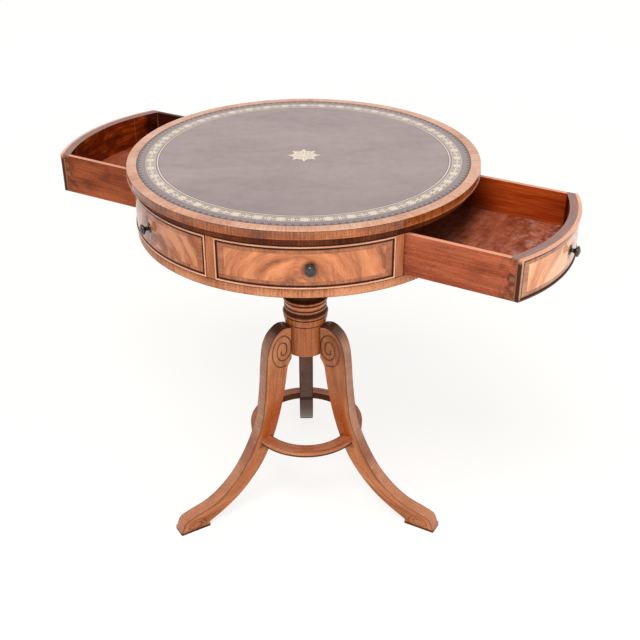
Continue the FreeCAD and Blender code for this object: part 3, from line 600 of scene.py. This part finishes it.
def merged(mesh, new):
    """Merges doubles. A new mesh gets its faces pointed outwards, and one of the CAD its flat faces
    joined."""
    work = bmesh.new()
    work.from_mesh(mesh)
    bmesh.ops.remove_doubles(work, verts=work.verts, dist=2e-6)
    if new:
        bmesh.ops.recalc_face_normals(work, faces=work.faces)
    else:
        bmesh.ops.dissolve_limit(
            work, angle_limit=math.radians(0.4), verts=work.verts, edges=work.edges, delimit={"NORMAL"}
        )
    work.to_mesh(mesh)
    work.free()


def hung(name, mesh, body, material, node, sharp):
    """An object that is smooth up to an angle, rides on its body and stands for a node of the CAD."""
    mesh.shade_smooth()
    mesh.set_sharp_from_angle(angle=math.radians(sharp))
    mesh.materials.append(material)
    piece = placed(name, mesh)
    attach(piece, body)
    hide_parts(node)
    return piece


def sheet(name, points, body, material, node, board, worn, ring=False, lids=False):
    """A surface from a grid of points, rows by columns by xyz, and their places on the board, both in
    millimetres. Its columns close on themselves, its rows do where ring says so, and lids shuts the
    first and last row with a face."""
    rows, columns = points.shape[:2]
    number = np.arange(rows * columns).reshape(rows, columns)
    if ring:
        number = np.vstack([number, number[:1]])
    number = np.hstack([number, number[:, :1]])
    faces = np.stack([number[:-1, :-1], number[1:, :-1], number[1:, 1:], number[:-1, 1:]], -1)
    faces = faces.reshape(-1, 4).tolist()
    if lids:
        faces += [number[0, :columns].tolist(), number[-1, :columns][::-1].tolist()]
    mesh = bpy.data.meshes.new(name)
    mesh.from_pydata((points.reshape(-1, 3) * MM).tolist(), [], faces)
    marked(mesh, "board", board * MM)
    marked(mesh, "worn", np.broadcast_to(worn, (rows, columns)).reshape(-1))
    merged(mesh, True)
    hung(name, mesh, body, material, node, 40)


def grid(east, north, up):
    """Points from their three parts, each a number for every row, for every column or for both."""
    return np.stack(np.broadcast_arrays(east, north, up), -1)


def covered(line):
    """Length covered from the start of a line to each of its points."""
    return np.concatenate([[0], np.cumsum(np.hypot(*np.diff(line, axis=0).T))])


def turned_about(points, axis, out=0):
    """Points moved out along +X, then turned to an azimuth about the middle of the table."""
    angle = math.radians(axis)
    east, north, up = points[..., 0] + out, points[..., 1], points[..., 2]
    cosine, sine = math.cos(angle), math.sin(angle)
    return grid(east * cosine - north * sine, east * sine + north * cosine, up)


def rounded(corners, radius, steps):
    """An open outline with each inner corner replaced by a short curve: between its two cut points
    the curve leans on the corner, with weights (1-t)^2, 2t(1-t) and t^2."""
    corners = np.asarray(corners, float)
    points = [corners[0]]
    for before, corner, after in zip(corners, corners[1:], corners[2:]):
        one, two = before - corner, after - corner
        cut = min(radius, np.hypot(*one) * 0.49, np.hypot(*two) * 0.49)
        start, stop = corner + one / np.hypot(*one) * cut, corner + two / np.hypot(*two) * cut
        for t in np.linspace(0, 1, steps + 1):
            points.append((1 - t) ** 2 * start + 2 * t * (1 - t) * corner + t**2 * stop)
    points.append(corners[-1])
    return np.array(points)


def through_points(points, count):
    """A smooth line through given points: between two of them the cubic whose slopes are half the
    step from the point before to the point after, then spaced evenly along its length."""
    points = np.asarray(points, float)
    ends = np.vstack([2 * points[0] - points[1], points, 2 * points[-1] - points[-2]])
    pieces = []
    for first, start, stop, last in zip(ends, ends[1:], ends[2:], ends[3:]):
        t = np.linspace(0, 1, 24, endpoint=False)[:, None]
        leave, arrive = (stop - first) / 2, (last - start) / 2
        piece = (2 * t**3 - 3 * t**2 + 1) * start + (3 * t**2 - 2 * t**3) * stop
        pieces.append(piece + (t**3 - 2 * t**2 + t) * leave + (t**3 - t**2) * arrive)
    return spaced(np.vstack(pieces + [points[-1:]]), count)


def spaced(line, count):
    """The same line with its points at even steps of length; count may be the steps themselves."""
    run = covered(line)
    steps = np.linspace(0, 1, count) if np.isscalar(count) else np.asarray(count)
    return np.stack([np.interp(steps * run[-1], run, line[:, part]) for part in range(line.shape[1])], -1)


def lathe(name, outline, material, node, count, worn=0, around=None):
    """A turned piece of the table: x = r cos t, y = r sin t and z from an outline of radius and level.
    Its board lies upright, or round the piece at the radius that around gives."""
    angle = np.linspace(0, math.tau, count, endpoint=False)
    radius, level = outline[:, :1], outline[:, 1:]
    points = grid(radius * np.cos(angle), radius * np.sin(angle), level)
    board = grid(angle * around, covered(outline)[:, None], radius) if around else points[..., [2, 0, 1]]
    sheet(name, points, "table", material, node, board, np.reshape(worn, (-1, 1)))


def near_line(points, line):
    """Distance from each point of a grid to the nearest point of a line, both in the same plane."""
    nearest = np.full(points.shape[:-1], 1e9)
    for place in line:
        nearest = np.minimum(nearest, np.sqrt(((points - place) ** 2).sum(-1)))
    return nearest


def dressed(node, material, axis, out, grain, width=0.35):
    """A piece of the CAD with a Bevel on what is sharper than 35 degrees. Grain says how its board
    lies; round measures along the drum, up from the fronts' middle and out from their face."""
    source = frame["nodes"][node]
    mesh = source.data.copy()
    mesh.materials.clear()
    merged(mesh, False)
    places = np.zeros(len(mesh.vertices) * 3, np.float32)
    mesh.vertices.foreach_get("co", places)
    east, north, up = turned_about(places.reshape(-1, 3).astype(float), -axis).T
    east = east - out * MM
    radius = DRUM_RADIUS * MM
    board = {
        "round": (np.arctan2(north, east) * radius, up - FRONT_MIDDLE * MM, np.hypot(east, north) - radius),
        "up": (up, north, east),
        "across": (north, up, east),
        "flat": (north, east, up),
        "run": (east, up, north),
    }
    marked(mesh, "board", grid(*board[grain]))
    marked(mesh, "worn", np.zeros(len(mesh.vertices)))
    piece = hung(node + "_finished", mesh, source["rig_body"], material, node, 35)
    bevel = piece.modifiers.new("softened", "BEVEL")
    bevel.width = width * MM
    bevel.segments = 2
    bevel.limit_method = "ANGLE"
    bevel.angle_limit = math.radians(35)
    bevel.harden_normals = True


# Finishes of the table's pieces

# the dark line at 713.2 is painted shade under the lip
rim_band = banded_wood(
    "rim_band", (206, 125, 71), (161, 85, 33), (100, 41, 7), seed=2, joint=0.16,
    lines_at=((727.5, 1.1, 0.85), (713.2, 1, 0.9)), lift=(723, 716, 0.05), coat=1,
)
# the dark line at 625.2 is painted shade under the bottom bead
base_band = banded_wood(
    "base_band", (222, 150, 108), (192, 122, 82), (140, 80, 48), seed=5, joint=0.14,
    lines_at=((625.2, 2, 0.85), (609, 1.5, 0.9)), lift=(624, 614, 0.1), coat=0.35,
)
# the rail under the top's edge: its dark tones and the wide dark line at its top are painted shade of the top's
# overhang
rail_in_painted_shade = banded_wood(
    "rail_in_painted_shade", (136, 69, 35), (102, 45, 19), (58, 21, 8), seed=7, joint=0.14,
    lines_at=((713.8, 4.5, 0.9), (697.6, 3, 0.9)), coat=0.1,
)
top_band = banded_wood(
    "top_band", (238, 190, 162), (221, 162, 131), (180, 118, 87), seed=4, joint=0.12,
    lines_at=((287.8, 0.8, 0.5),), radial=True,
)
leather = tooled_leather("tooled_leather")
carcass = plain_wood("carcass_wood", (150, 98, 62), (118, 70, 40), (80, 42, 22), 1, 0.6, 0, own=False)
# the stiles' edges are dark with grime and painted shade beside the beads
stile_wood = plain_wood("stile_wood", (206, 128, 84), (174, 98, 54), (124, 60, 28), 3, edge=STILE_WIDTH / 2 * MM)
bead_wood = plain_wood(
    "bead_wood", (248, 188, 152), (234, 166, 128), (186, 112, 76), 6, 0.3, 0.8, marked_tone=(158, 127, 119)
)
pillar_wood = plain_wood("pillar_wood", (222, 138, 80), (190, 104, 48), (124, 54, 16), 8, 0.36, 0.8)
ring_wood = plain_wood("ring_wood", (224, 146, 100), (194, 116, 74), (130, 64, 32), 9, 0.36, 0.6)
knob_metal = dark_metal("knob_metal")
steel = plain_steel("plain_steel")
side_wood = drawer_wood("side_wood", 11, (208, 118, 84), (176, 90, 58), (112, 44, 22), 0.2)
stained_and_shaded_wood = drawer_wood("stained_and_shaded_wood", 12, (182, 98, 58), (146, 68, 34), (76, 28, 10), 1, shade=0.9)
back_wood = drawer_wood("back_wood", 13, (160, 72, 40), (128, 48, 22), (76, 22, 8), 0.5, reverse=True)
floor_boards = {"right": drawer_floor("floor_board", 15, 1), "left": drawer_floor("dark_floor_board", 16, 0.2)}
PLAIN_BAND = ((132, 72, 40), (170, 99, 60), (196, 126, 84))
WARM_BAND = ((140, 84, 60), (184, 124, 92), (206, 150, 120))
DUMMY_ARC = OPENING_HALF_ANGLE * DRUM_RADIUS * MM
DRAWER_ARC = math.asin(DRAWER_HALF / DRUM_RADIUS) * DRUM_RADIUS * MM
FRONT_TONES = ((230, 146, 95), (197, 116, 70), (140, 75, 40))
SOBER_TONES = ((214, 140, 96), (170, 92, 46), (128, 62, 26))
PALE_TONES = ((255, 200, 152), (252, 178, 126), (212, 138, 92))
FLAMES = {
    "front": (0, *FRONT_TONES, DUMMY_ARC, PLAIN_BAND, -0.012, 1, 0.0077),
    "left": (3.1, *SOBER_TONES, DUMMY_ARC, SOBER_TONES[::-1], 0.02, 1.2),
    "right": (6.3, *FRONT_TONES, DUMMY_ARC, PLAIN_BAND),
    "rear": (9.2, *FRONT_TONES, DUMMY_ARC, PLAIN_BAND),
    "right_drawer": (12.4, *PALE_TONES, DRAWER_ARC, WARM_BAND),
    "left_drawer": (17.7, *FRONT_TONES, DRAWER_ARC, PLAIN_BAND),
}
flames = {place: flame_veneer(f"flame_{place}", *values) for place, values in FLAMES.items()}


# Top


def disc_of_leather():
    """The leather: rings of points from the middle out, with its last millimetre rolled down."""
    radius = np.concatenate([[0], np.linspace(4, 280, 40), np.linspace(282, 287.4, 5), [287.8, 287.8]])
    level = np.full(len(radius), 728.7)
    level[-2:] = (728.55, 727.6)
    lathe("leather_top", np.stack([radius, level], -1), leather, "leather_inset", 240)


def rim():
    """Border and edge of the top: outlines of radius and level, with their corners eased."""
    border = rounded([(288, 727.6), (288, TOP_LEVEL), (TOP_RADIUS, TOP_LEVEL), (TOP_RADIUS, 727.5)], 0.5, 3)
    lathe("top_border", np.vstack([border, border[:1]]), top_band, "top_crossband", 288)
    edge = [(303.5, 727.5), (TOP_RADIUS, 727.5), (TOP_RADIUS, 716.2), (304.6, 715.9)]
    edge += [(305.8, 715.7), (305.8, 713.5), (303.5, 713.5), (303.5, 727.5)]
    lathe("top_edge", rounded(edge, 0.35, 3), rim_band, "top_edge_band", 288)


disc_of_leather()
rim()


# Pillar and ring


def pillar():
    """Pillar: mouldings between the radii that the turner left, drawn from the foot up: a plain shaft,
    two cup-shaped collars with thin round rims, a hollow neck between them, a vase and a necking."""
    foot = [(0, 337), (39, 337), (39, 400), (40, 400), (40, 402.5), (41.8, 409.5), (42.4, 417.6)]
    t = np.linspace(-1.2, 1.2, 9)
    low_rim = np.stack([42.1 + 1.1 * np.cos(t), 419.7 + 2.1 * np.sin(t)], -1)
    neck = [(42, 421.9), (39.6, 428.2), (39.6, 429.9), (40.4, 430.8), (40.4, 434), (39.3, 436.4)]
    neck += [(39.1, 438.8), (39.5, 441.4), (40.8, 444), (42, 446.6), (42.3, 448.8)]
    high_rim = np.stack([42 + 1.05 * np.cos(t), 450.75 + 1.7 * np.sin(t)], -1)
    vase = through_points([(36.2, 458.4), (40.6, 482), (41, 500), (37.5, 535), (31, 548), (24, 562.5)], 40)
    tail = [(28.1, 562.9), (28.1, 572.3), (25, 572.4), (37, 589.4), (0, 589.4)]
    pieces = [rounded(foot, 0.9, 3), low_rim, rounded(neck, 0.6, 3), high_rim]
    pieces += [[(42, 452.6), (36, 457.8)], vase, rounded(tail, 0.6, 3)]
    outline = spaced(np.vstack(pieces), 520)
    radii, levels = outline.T
    worn = np.zeros(len(outline))
    # painted shade: dark bands under the rims and in the hollows, and the top of the upper collar dark in the drum's
    # shadow
    for level, spread in ((401.6, 1.2), (416.6, 1.7), (425.6, 4.2), (429.4, 1), (435.2, 1.4), (447.2, 2.3)):
        worn = np.maximum(worn, np.exp(-(((levels - level) / spread) ** 4)) * 0.95)
    worn = np.maximum(worn, np.interp(levels, [452.4, 453.2, 462, 474], [0, 0.95, 0.95, 0.35]))
    # painted highlights on the rims and the neck
    marked_tone = ((403.6, 1, 0.4), (419.6, 1.2, 0.25), (432.6, 1, 0.4), (441.2, 1.8, 0.6), (450.6, 0.9, 0.4))
    for level, spread, much in marked_tone:
        worn -= np.exp(-(((levels - level) / spread) ** 2)) * much
    worn[radii < 5] = 0
    lathe("turned_pillar", outline, pillar_wood, "pillar", 144, worn)


def ring():
    """Ring stretcher: a rectangle with quarter-round corners carried round the pillar."""
    inner, outer, low, high = 88, 112, 153.65, 167.15
    section = rounded([(100, low), (outer, low), (outer, high), (inner, high), (inner, low), (100, low)], 2.4, 7)
    section = spaced(section, 90)
    radii, levels = section.T
    # painted shade along the lower outer edge and on the inner face, and a fainter dark line on the upper outer edge
    low_edge = np.exp(-((np.hypot(radii - outer, levels - low) / 4.8) ** 6))
    high_edge = np.exp(-(((radii - inner) / 3) ** 6)) * 0.85
    rim_edge = np.exp(-((np.hypot(radii - outer, levels - high) / 1.8) ** 2)) * 0.5
    worn = np.clip(low_edge + high_edge + rim_edge, 0, 0.95)
    lathe("ring_hoop", section, ring_wood, "ring_stretcher", 200, worn, around=100)


pillar()
ring()


# Legs
OUTER_LINE = [
    (39, 398.2), (52.9, 400.6), (66.9, 394.6), (80.8, 379.7), (89.7, 354.9), (94, 316.8), (96.5, 280.7),
    (100.6, 242.6), (106.4, 203.7), (121.1, 162), (141.2, 123.1), (165.8, 88.6), (196.4, 60.6), (227.1, 43.3),
    (262.3, 33.7), (281.9, 25.7), (290, 8.4),
]
INNER_LINE = [
    (230.9, 10), (200, 26.1), (165.8, 48.5), (135.3, 77), (107.4, 113.1), (84.6, 159.6), (67.4, 212.5),
    (55.7, 265.9), (48.1, 314),
]

# The carved scrolls on both sides of a leg: distance out and level of points along each line
VOLUTE = [
    (52.1, 318.4), (60.5, 317.6), (68.5, 320), (75, 328), (79.2, 339), (80.3, 352), (77.6, 366),
    (71, 377.5), (62.5, 384.4), (54.5, 384.6), (47, 379.6), (41.6, 370.5), (40.2, 358.5), (42, 344.5),
    (47.5, 334.8), (55.5, 331), (63.5, 333.5), (68.7, 341), (70, 352), (67.4, 363.5), (61.5, 370.3),
    (54.5, 369.5), (50.2, 362.5), (49.6, 353), (52.6, 345), (57.6, 342.6), (61.4, 346.5), (60.8, 352.6),
]
FOOT_SCROLL = [
    (239.6, 8), (239, 14), (241.5, 20.5), (247, 24.5), (254, 26.2), (262.5, 25.8), (271.5, 22.2),
    (276.8, 16.6), (276, 11.2), (270.5, 8), (263, 6.8), (255, 7.8), (249.8, 11.6), (249, 16),
    (253, 19.6), (260, 20.4), (266.3, 18.2), (268.6, 14.4),
]


def leg_stations():
    """Where the leg is divided along its run: close together at both scrolls, wider between."""
    density = np.interp(np.linspace(0, 1, 400), [0, 0.3, 0.36, 0.8, 0.86, 1], [3.4, 3.4, 1, 1, 2.2, 2.2])
    run = np.cumsum(density) - density[0]
    return np.interp(np.linspace(0, 1, 420), run / run[-1], np.linspace(0, 1, 400))


def leg(place, axis):
    """A leg: between its outer and inner lines each station is a rectangle with eased corners, and
    the scrolls and edge lines sink into its sides by a bell curve of the distance to them."""
    steps = np.linspace(0, 1, 900)
    outer = through_points(OUTER_LINE, steps)
    outer = np.vstack([outer, rounded([(290, 8.4), (292.5, 8), (292.5, 0)], 0.8, 4)])
    inner = np.vstack(
        [
            np.linspace((39, 398.2), (39, 333), 120),
            rounded([(39, 332), (41.5, 327), (45.5, 320.5), (48.1, 314)], 3, 6),
            through_points(INNER_LINE[::-1], steps),
            rounded([(230.9, 10), (230, 0)], 0.5, 2),
        ]
    )
    # the two lines keep pace: both are read by the share of the leg's height and reach that is done
    stations = leg_stations()
    outer = spaced(outer, stations)
    inner = spaced(inner, np.interp(stations, [0, 0.2, 0.27, 1], [0, 0.13, 0.19, 1]))
    across = inner - outer
    width = np.hypot(*across.T)[:, None]
    ease = np.minimum(1.1 / np.maximum(width, 1.1), 0.3)
    inset = ease + (1 - 2 * ease) * np.linspace(0, 1, 61)
    out_edge, in_edge = outer[:, None, :], inner[:, None, :]
    side = out_edge + across[:, None, :] * inset[..., None]
    scroll, foot = through_points(VOLUTE, 420), through_points(FOOT_SCROLL, 260)
    from_outer = inset * width
    groove = 0.9 * np.exp(-((near_line(side, scroll) / 1.25) ** 2))
    groove_foot = 0.7 * np.exp(-((near_line(side, foot) / 0.9) ** 2))
    edge_line = 0.5 * np.exp(-(((from_outer - 1.4) / 0.95) ** 2)) * (width > 14)
    sink = np.maximum(np.maximum(groove, groove_foot), edge_line)
    depth = LEG_HALF - sink
    length = covered(outer)[:, None]

    def strip(plane, through, far, mark):
        flat = 0 * plane[..., 0]
        return grid(plane[..., 0], through, plane[..., 1]), grid(length + flat, far, through), mark + flat

    worn = np.clip(sink / 0.9, 0, 1) * 0.7225
    bend = across[:, None, :] * (ease * 0.3)[..., None]
    bend_out, bend_in = out_edge + bend, in_edge - bend
    edge = LEG_HALF - 0.33
    inner_cross = np.linspace(-LEG_HALF + 2.6, LEG_HALF - 2.6, 7)
    cross = np.concatenate([[-LEG_HALF + 1.1], inner_cross, [LEG_HALF - 1.1]])[None, :]
    # the arrises of the narrow faces are marked dark
    marked_tone = np.where(np.abs(cross) > LEG_HALF - 1.5, 0.6, 0)
    strips = (
        strip(side, depth, from_outer, worn),
        strip(bend_in, edge, width, 0.6),
        strip(np.repeat(in_edge, 9, 1), cross[:, ::-1], width, marked_tone),
        strip(bend_in, -edge, width, 0.6),
        strip(side[:, ::-1], -depth[:, ::-1], from_outer[:, ::-1], worn[:, ::-1]),
        strip(bend_out, -edge, 0 * width, 0.6),
        strip(np.repeat(out_edge, 9, 1), cross, 0 * width, marked_tone),
        strip(bend_out, edge, 0 * width, 0.6),
    )
    points, board, marks = (np.concatenate(part, 1) for part in zip(*strips))
    material, points = leg_finishes[place], turned_about(points, axis)
    sheet(f"{place}_sabre_leg", points, "table", material, f"{place}_leg", board, marks, lids=True)


leg_finishes = {place: leg_wood(f"leg_wood_{place}", 20 + count * 4) for count, place in enumerate(LEG_AXES)}
for place, axis in LEG_AXES.items():
    leg(place, axis)


# Beads, knobs and plates


def bead(name, node, body, axis, out, flat_ends, low, high):
    """Cockbead: a half-round nose on a square foot, carried round the front's four edges; a point of
    the section sits its own distance in from every edge, so that the corners are mitred."""
    t = np.linspace(0, math.pi, 9)
    nose = np.stack([1.6 - 1.6 * np.cos(t), 0.2 + 1.6 * np.sin(t)], -1)
    section = np.vstack([[(0, -4.5)], nose, [(3.2, -4.5)]])
    corners = [(-1, -1), (1, -1), (1, 1), (-1, 1), (-1, -1)]
    edges = zip(corners, corners[1:], (60, 8, 60, 8))
    places = np.vstack([np.linspace(start, stop, count, endpoint=False) for start, stop, count in edges])
    inward, proud = section[None, :, 0], section[None, :, 1]
    across, rise = places[:, :1], places[:, 1:]
    middle, half = (low + high) / 2, (high - low) / 2
    level = middle + rise * (half - inward)
    radius = DRUM_RADIUS + proud
    if flat_ends:
        side = across * (DRAWER_HALF - inward)
        east = np.sqrt(radius**2 - side**2)
    else:
        angle = across * (OPENING_HALF_ANGLE - inward / DRUM_RADIUS)
        east, side = radius * np.cos(angle), radius * np.sin(angle)
    points = grid(east, side, level)
    run = np.concatenate([[0], np.cumsum(np.linalg.norm(np.diff(points[:, 0], axis=0), axis=-1))])[:, None]
    board = grid(run, inward, proud)
    # painted shade on the bead's flanks and foot: only the crest of its nose keeps its colour
    worn = np.clip((1.1 - proud) / 0.6, 0, 1) * 0.95 + 0 * level
    if flat_ends:
        # on the drawers the bead is grimy and dusty on top, and painted shade makes it almost black below
        worn = np.where((inward < 1.7) & (rise > 0.9), -1, worn + 0.25)
        worn = np.clip(worn + 0.6 * (rise < -0.9), 0, 0.95)
    sheet(name, turned_about(points, axis, out), body, bead_wood, node, board, worn, ring=True)


def knob_outline():
    """Outline of a knob, as distance out and radius, and a mark on the points of its groove."""
    stem = rounded([(0.3, 0), (0.3, 3.4), (4.4, 3.4), (6.2, 3.6), (8.2, 6), (10.4, 8.6)], 1.6, 4)
    belly = through_points([(10.4, 8.6), (11.6, 9), (12.8, 8.8), (13.4, 8.3)], 12)[1:]
    dome = through_points([(13.9, 7.3), (14.5, 6.4), (14.9, 5.2)], 8)
    inner = [(14.75, 4.9), (14.8, 4.5), (15.1, 4.2), (15.35, 3), (15.3, 2), (15.4, 1.7), (15.9, 1.3), (16.1, 0.7)]
    outline = np.vstack([stem, belly, [(13.35, 7.9), (13.6, 7.5)], dome, inner, [(16.15, 0)]])
    worn = np.zeros(len(outline))
    worn[len(stem) + len(belly) :][:2] = 0.8
    return outline, worn


PLATE = rounded([(-0.6, 8.5), (1.2, 8.5), (1.7, 7.2), (1.5, 6.3), (2.4, 5.2), (2.5, 3.2), (0.8, 3.2)], 0.5, 3)


def pull(name, node, body, axis, out, outline, worn=None):
    """Knob, or the plate under it: an outline turned about the line that leaves the drum. The plate
    has no marks, and it follows the drum: it sinks by R - sqrt(R^2 - y^2)."""
    angle = np.linspace(0, math.tau, 56, endpoint=False)
    distance, radius = outline[:, :1], outline[:, 1:]
    side, rise = radius * np.cos(angle), radius * np.sin(angle)
    sag = DRUM_RADIUS - np.sqrt(DRUM_RADIUS**2 - side**2) if worn is None else 0 * side
    points = grid(DRUM_RADIUS + distance - sag, side, FRONT_MIDDLE + rise)
    board = grid(distance, side, rise)
    marks = 0 if worn is None else worn[:, None]
    sheet(name, turned_about(points, axis, out), body, knob_metal, node, board, marks)


for place, axis in DUMMY_AXES.items():
    bead(f"{place}_bead", f"{place}_dummy_bead", "table", axis, 0, False, OPENING_LOW, OPENING_HIGH)
    knob_axis = axis + KNOB_TURNS.get(place, 0)
    pull(f"{place}_knob", f"{place}_dummy_knob", "table", knob_axis, 0, *knob_outline())
    pull(f"{place}_plate", f"{place}_dummy_plate", "table", knob_axis, 0, PLATE)
    dressed(f"{place}_dummy_front", flames[place], axis, 0, "round", 0.15)
for place, axis in DRAWER_AXES.items():
    body, out = f"{place}_drawer", DRAWER_OUT[place]
    bead(f"{place}_drawer_edge", f"{place}_drawer_bead", body, axis, out, True, DRAWER_LOW, DRAWER_HIGH)
    pull(f"{place}_drawer_pull", f"{place}_drawer_knob", body, axis, out, *knob_outline())
    pull(f"{place}_drawer_rose", f"{place}_drawer_plate", body, axis, out, PLATE)
    dressed(f"{place}_drawer_front", flames[body], axis, out, "round", 0.3)
    dressed(f"{place}_drawer_back", back_wood, axis, out, "across")
    dressed(f"{place}_drawer_bottom", floor_boards[place], axis, out, "flat", 0.2)
    side_finish = side_wood if place == "right" else stained_and_shaded_wood
    for side in ("far", "near"):
        dressed(f"{place}_drawer_{side}_side", side_finish, axis, out, "run", 0.5)
for place, axis in STILE_AXES.items():
    dressed(f"stile_{place}", stile_wood, axis, 0, "up", 0.25)

# What is left of the CAD gets its finish as it is
for nodes, material in (
    (("top_board", "drum_base_board", "bearer_block", "centre_divider"), carcass),
    (("drawer_stops", "front_partition", "rear_partition"), carcass),
    (("drum_upper_board",), rail_in_painted_shade),
    (("drum_base_band",), base_band),
    (("top_screws", "bearer_screws"), steel),
):
    for node in nodes:
        slots = frame["nodes"][node].data.materials
        slots.clear()
        slots.append(material)


# Floor, light and camera


def studio_floor():
    """Pale floor that is white where the light falls freely and keeps the table's soft shadow."""
    finish = Finish("studio_floor")
    camera = finish.node("LightPath", output="Is Camera Ray")
    colour = mix(camera, (0.68, 0.67, 0.66, 1), (0.26, 0.25, 0.24, 1))
    pale = finish.node("BsdfDiffuse", inputs={"Color": colour})
    east, north, _ = parts(finish.place())
    distance = diagonal(east, north)
    mirrored = finish.node("LightPath", output="Is Glossy Ray")
    strength = camera * (0.81 + smooth(distance, 0.8, 3.5) * 0.07)
    strength = strength + mirrored * (0.25 + smooth(distance, 1.2, 3) * 0.7)
    tone = mix(mirrored, (1, 0.988, 0.972, 1), (1, 0.93, 0.89, 1))
    glow = finish.node("Emission", inputs={"Color": tone, "Strength": strength})
    both = finish.node("AddShader", inputs={0: pale, 1: glow})
    finish.node("OutputMaterial", inputs={"Surface": both})
    mesh = bpy.data.meshes.new("studio_floor")
    reach = 12
    mesh.from_pydata([(-reach, -reach, 0), (reach, -reach, 0), (reach, reach, 0), (-reach, reach, 0)], [], [range(4)])
    mesh.materials.append(finish.material)
    placed("studio_floor", mesh)


def studio_world():
    """White surroundings: white to the eye, a little warm in reflections and softer as a light."""
    world = bpy.data.worlds.new("studio")
    bpy.context.scene.world = world
    finish = Finish("studio", world)
    mirrored = finish.node("LightPath", output="Is Glossy Ray")
    seen = largest(finish.node("LightPath", output="Is Camera Ray"), mirrored)
    tone = mix(mirrored, (1, 1, 1, 1), (1, 0.95, 0.92, 1))
    sky = finish.node("Background", inputs={"Color": tone, "Strength": 0.42 + seen * 0.58})
    finish.node("OutputWorld", inputs={"Surface": sky})


def lamp(name, place, aim, width, height, radiance, glossy=True):
    """A softbox of a given brightness; its power is the brightness times pi and its area."""
    light = bpy.data.lights.new(name, "AREA")
    light.shape = "RECTANGLE"
    light.size = width
    light.size_y = height
    light.energy = radiance * math.pi * width * height
    item = placed(name, light)
    item.location = place
    item.rotation_euler = (Vector(aim) - Vector(place)).to_track_quat("-Z", "Y").to_euler()
    item.visible_glossy = glossy


def camera():
    """The photograph's camera: in front and above, tilted down by 30.5 degrees."""
    yaw, pitch, roll = map(math.radians, (0.936, 30.4925, 0.1015))
    forward = Vector((math.sin(yaw) * math.cos(pitch), math.cos(yaw) * math.cos(pitch), -math.sin(pitch)))
    right = Vector((math.cos(yaw), -math.sin(yaw), 0))
    down = forward.cross(right)
    level = math.cos(roll) * right + math.sin(roll) * down
    upright = math.sin(roll) * right - math.cos(roll) * down
    lens = bpy.data.cameras.new("camera")
    lens.sensor_width = 36
    lens.lens = 57.66
    item = placed("camera", lens)
    turn = Matrix((level, upright, -forward)).transposed().to_4x4()
    item.matrix_world = Matrix.Translation((0, -1.6803, 1.3856)) @ turn
    bpy.context.scene.camera = item


studio_floor()
studio_world()
lamp("key_softbox", (-0.75, -2.6, 4.8), (0, 0, 0.6), 3, 2.1, 8.6)
lamp("right_fill", (2.6, -1.1, 1.5), (0.2, 0, 0.6), 1.2, 1.2, 4, glossy=False)
lamp("front_fill", (0.3, -3.2, 0.8), (0, 0, 0.45), 2.6, 0.8, 3.2, glossy=False)
camera()
bpy.context.scene.view_settings.view_transform = "Standard"
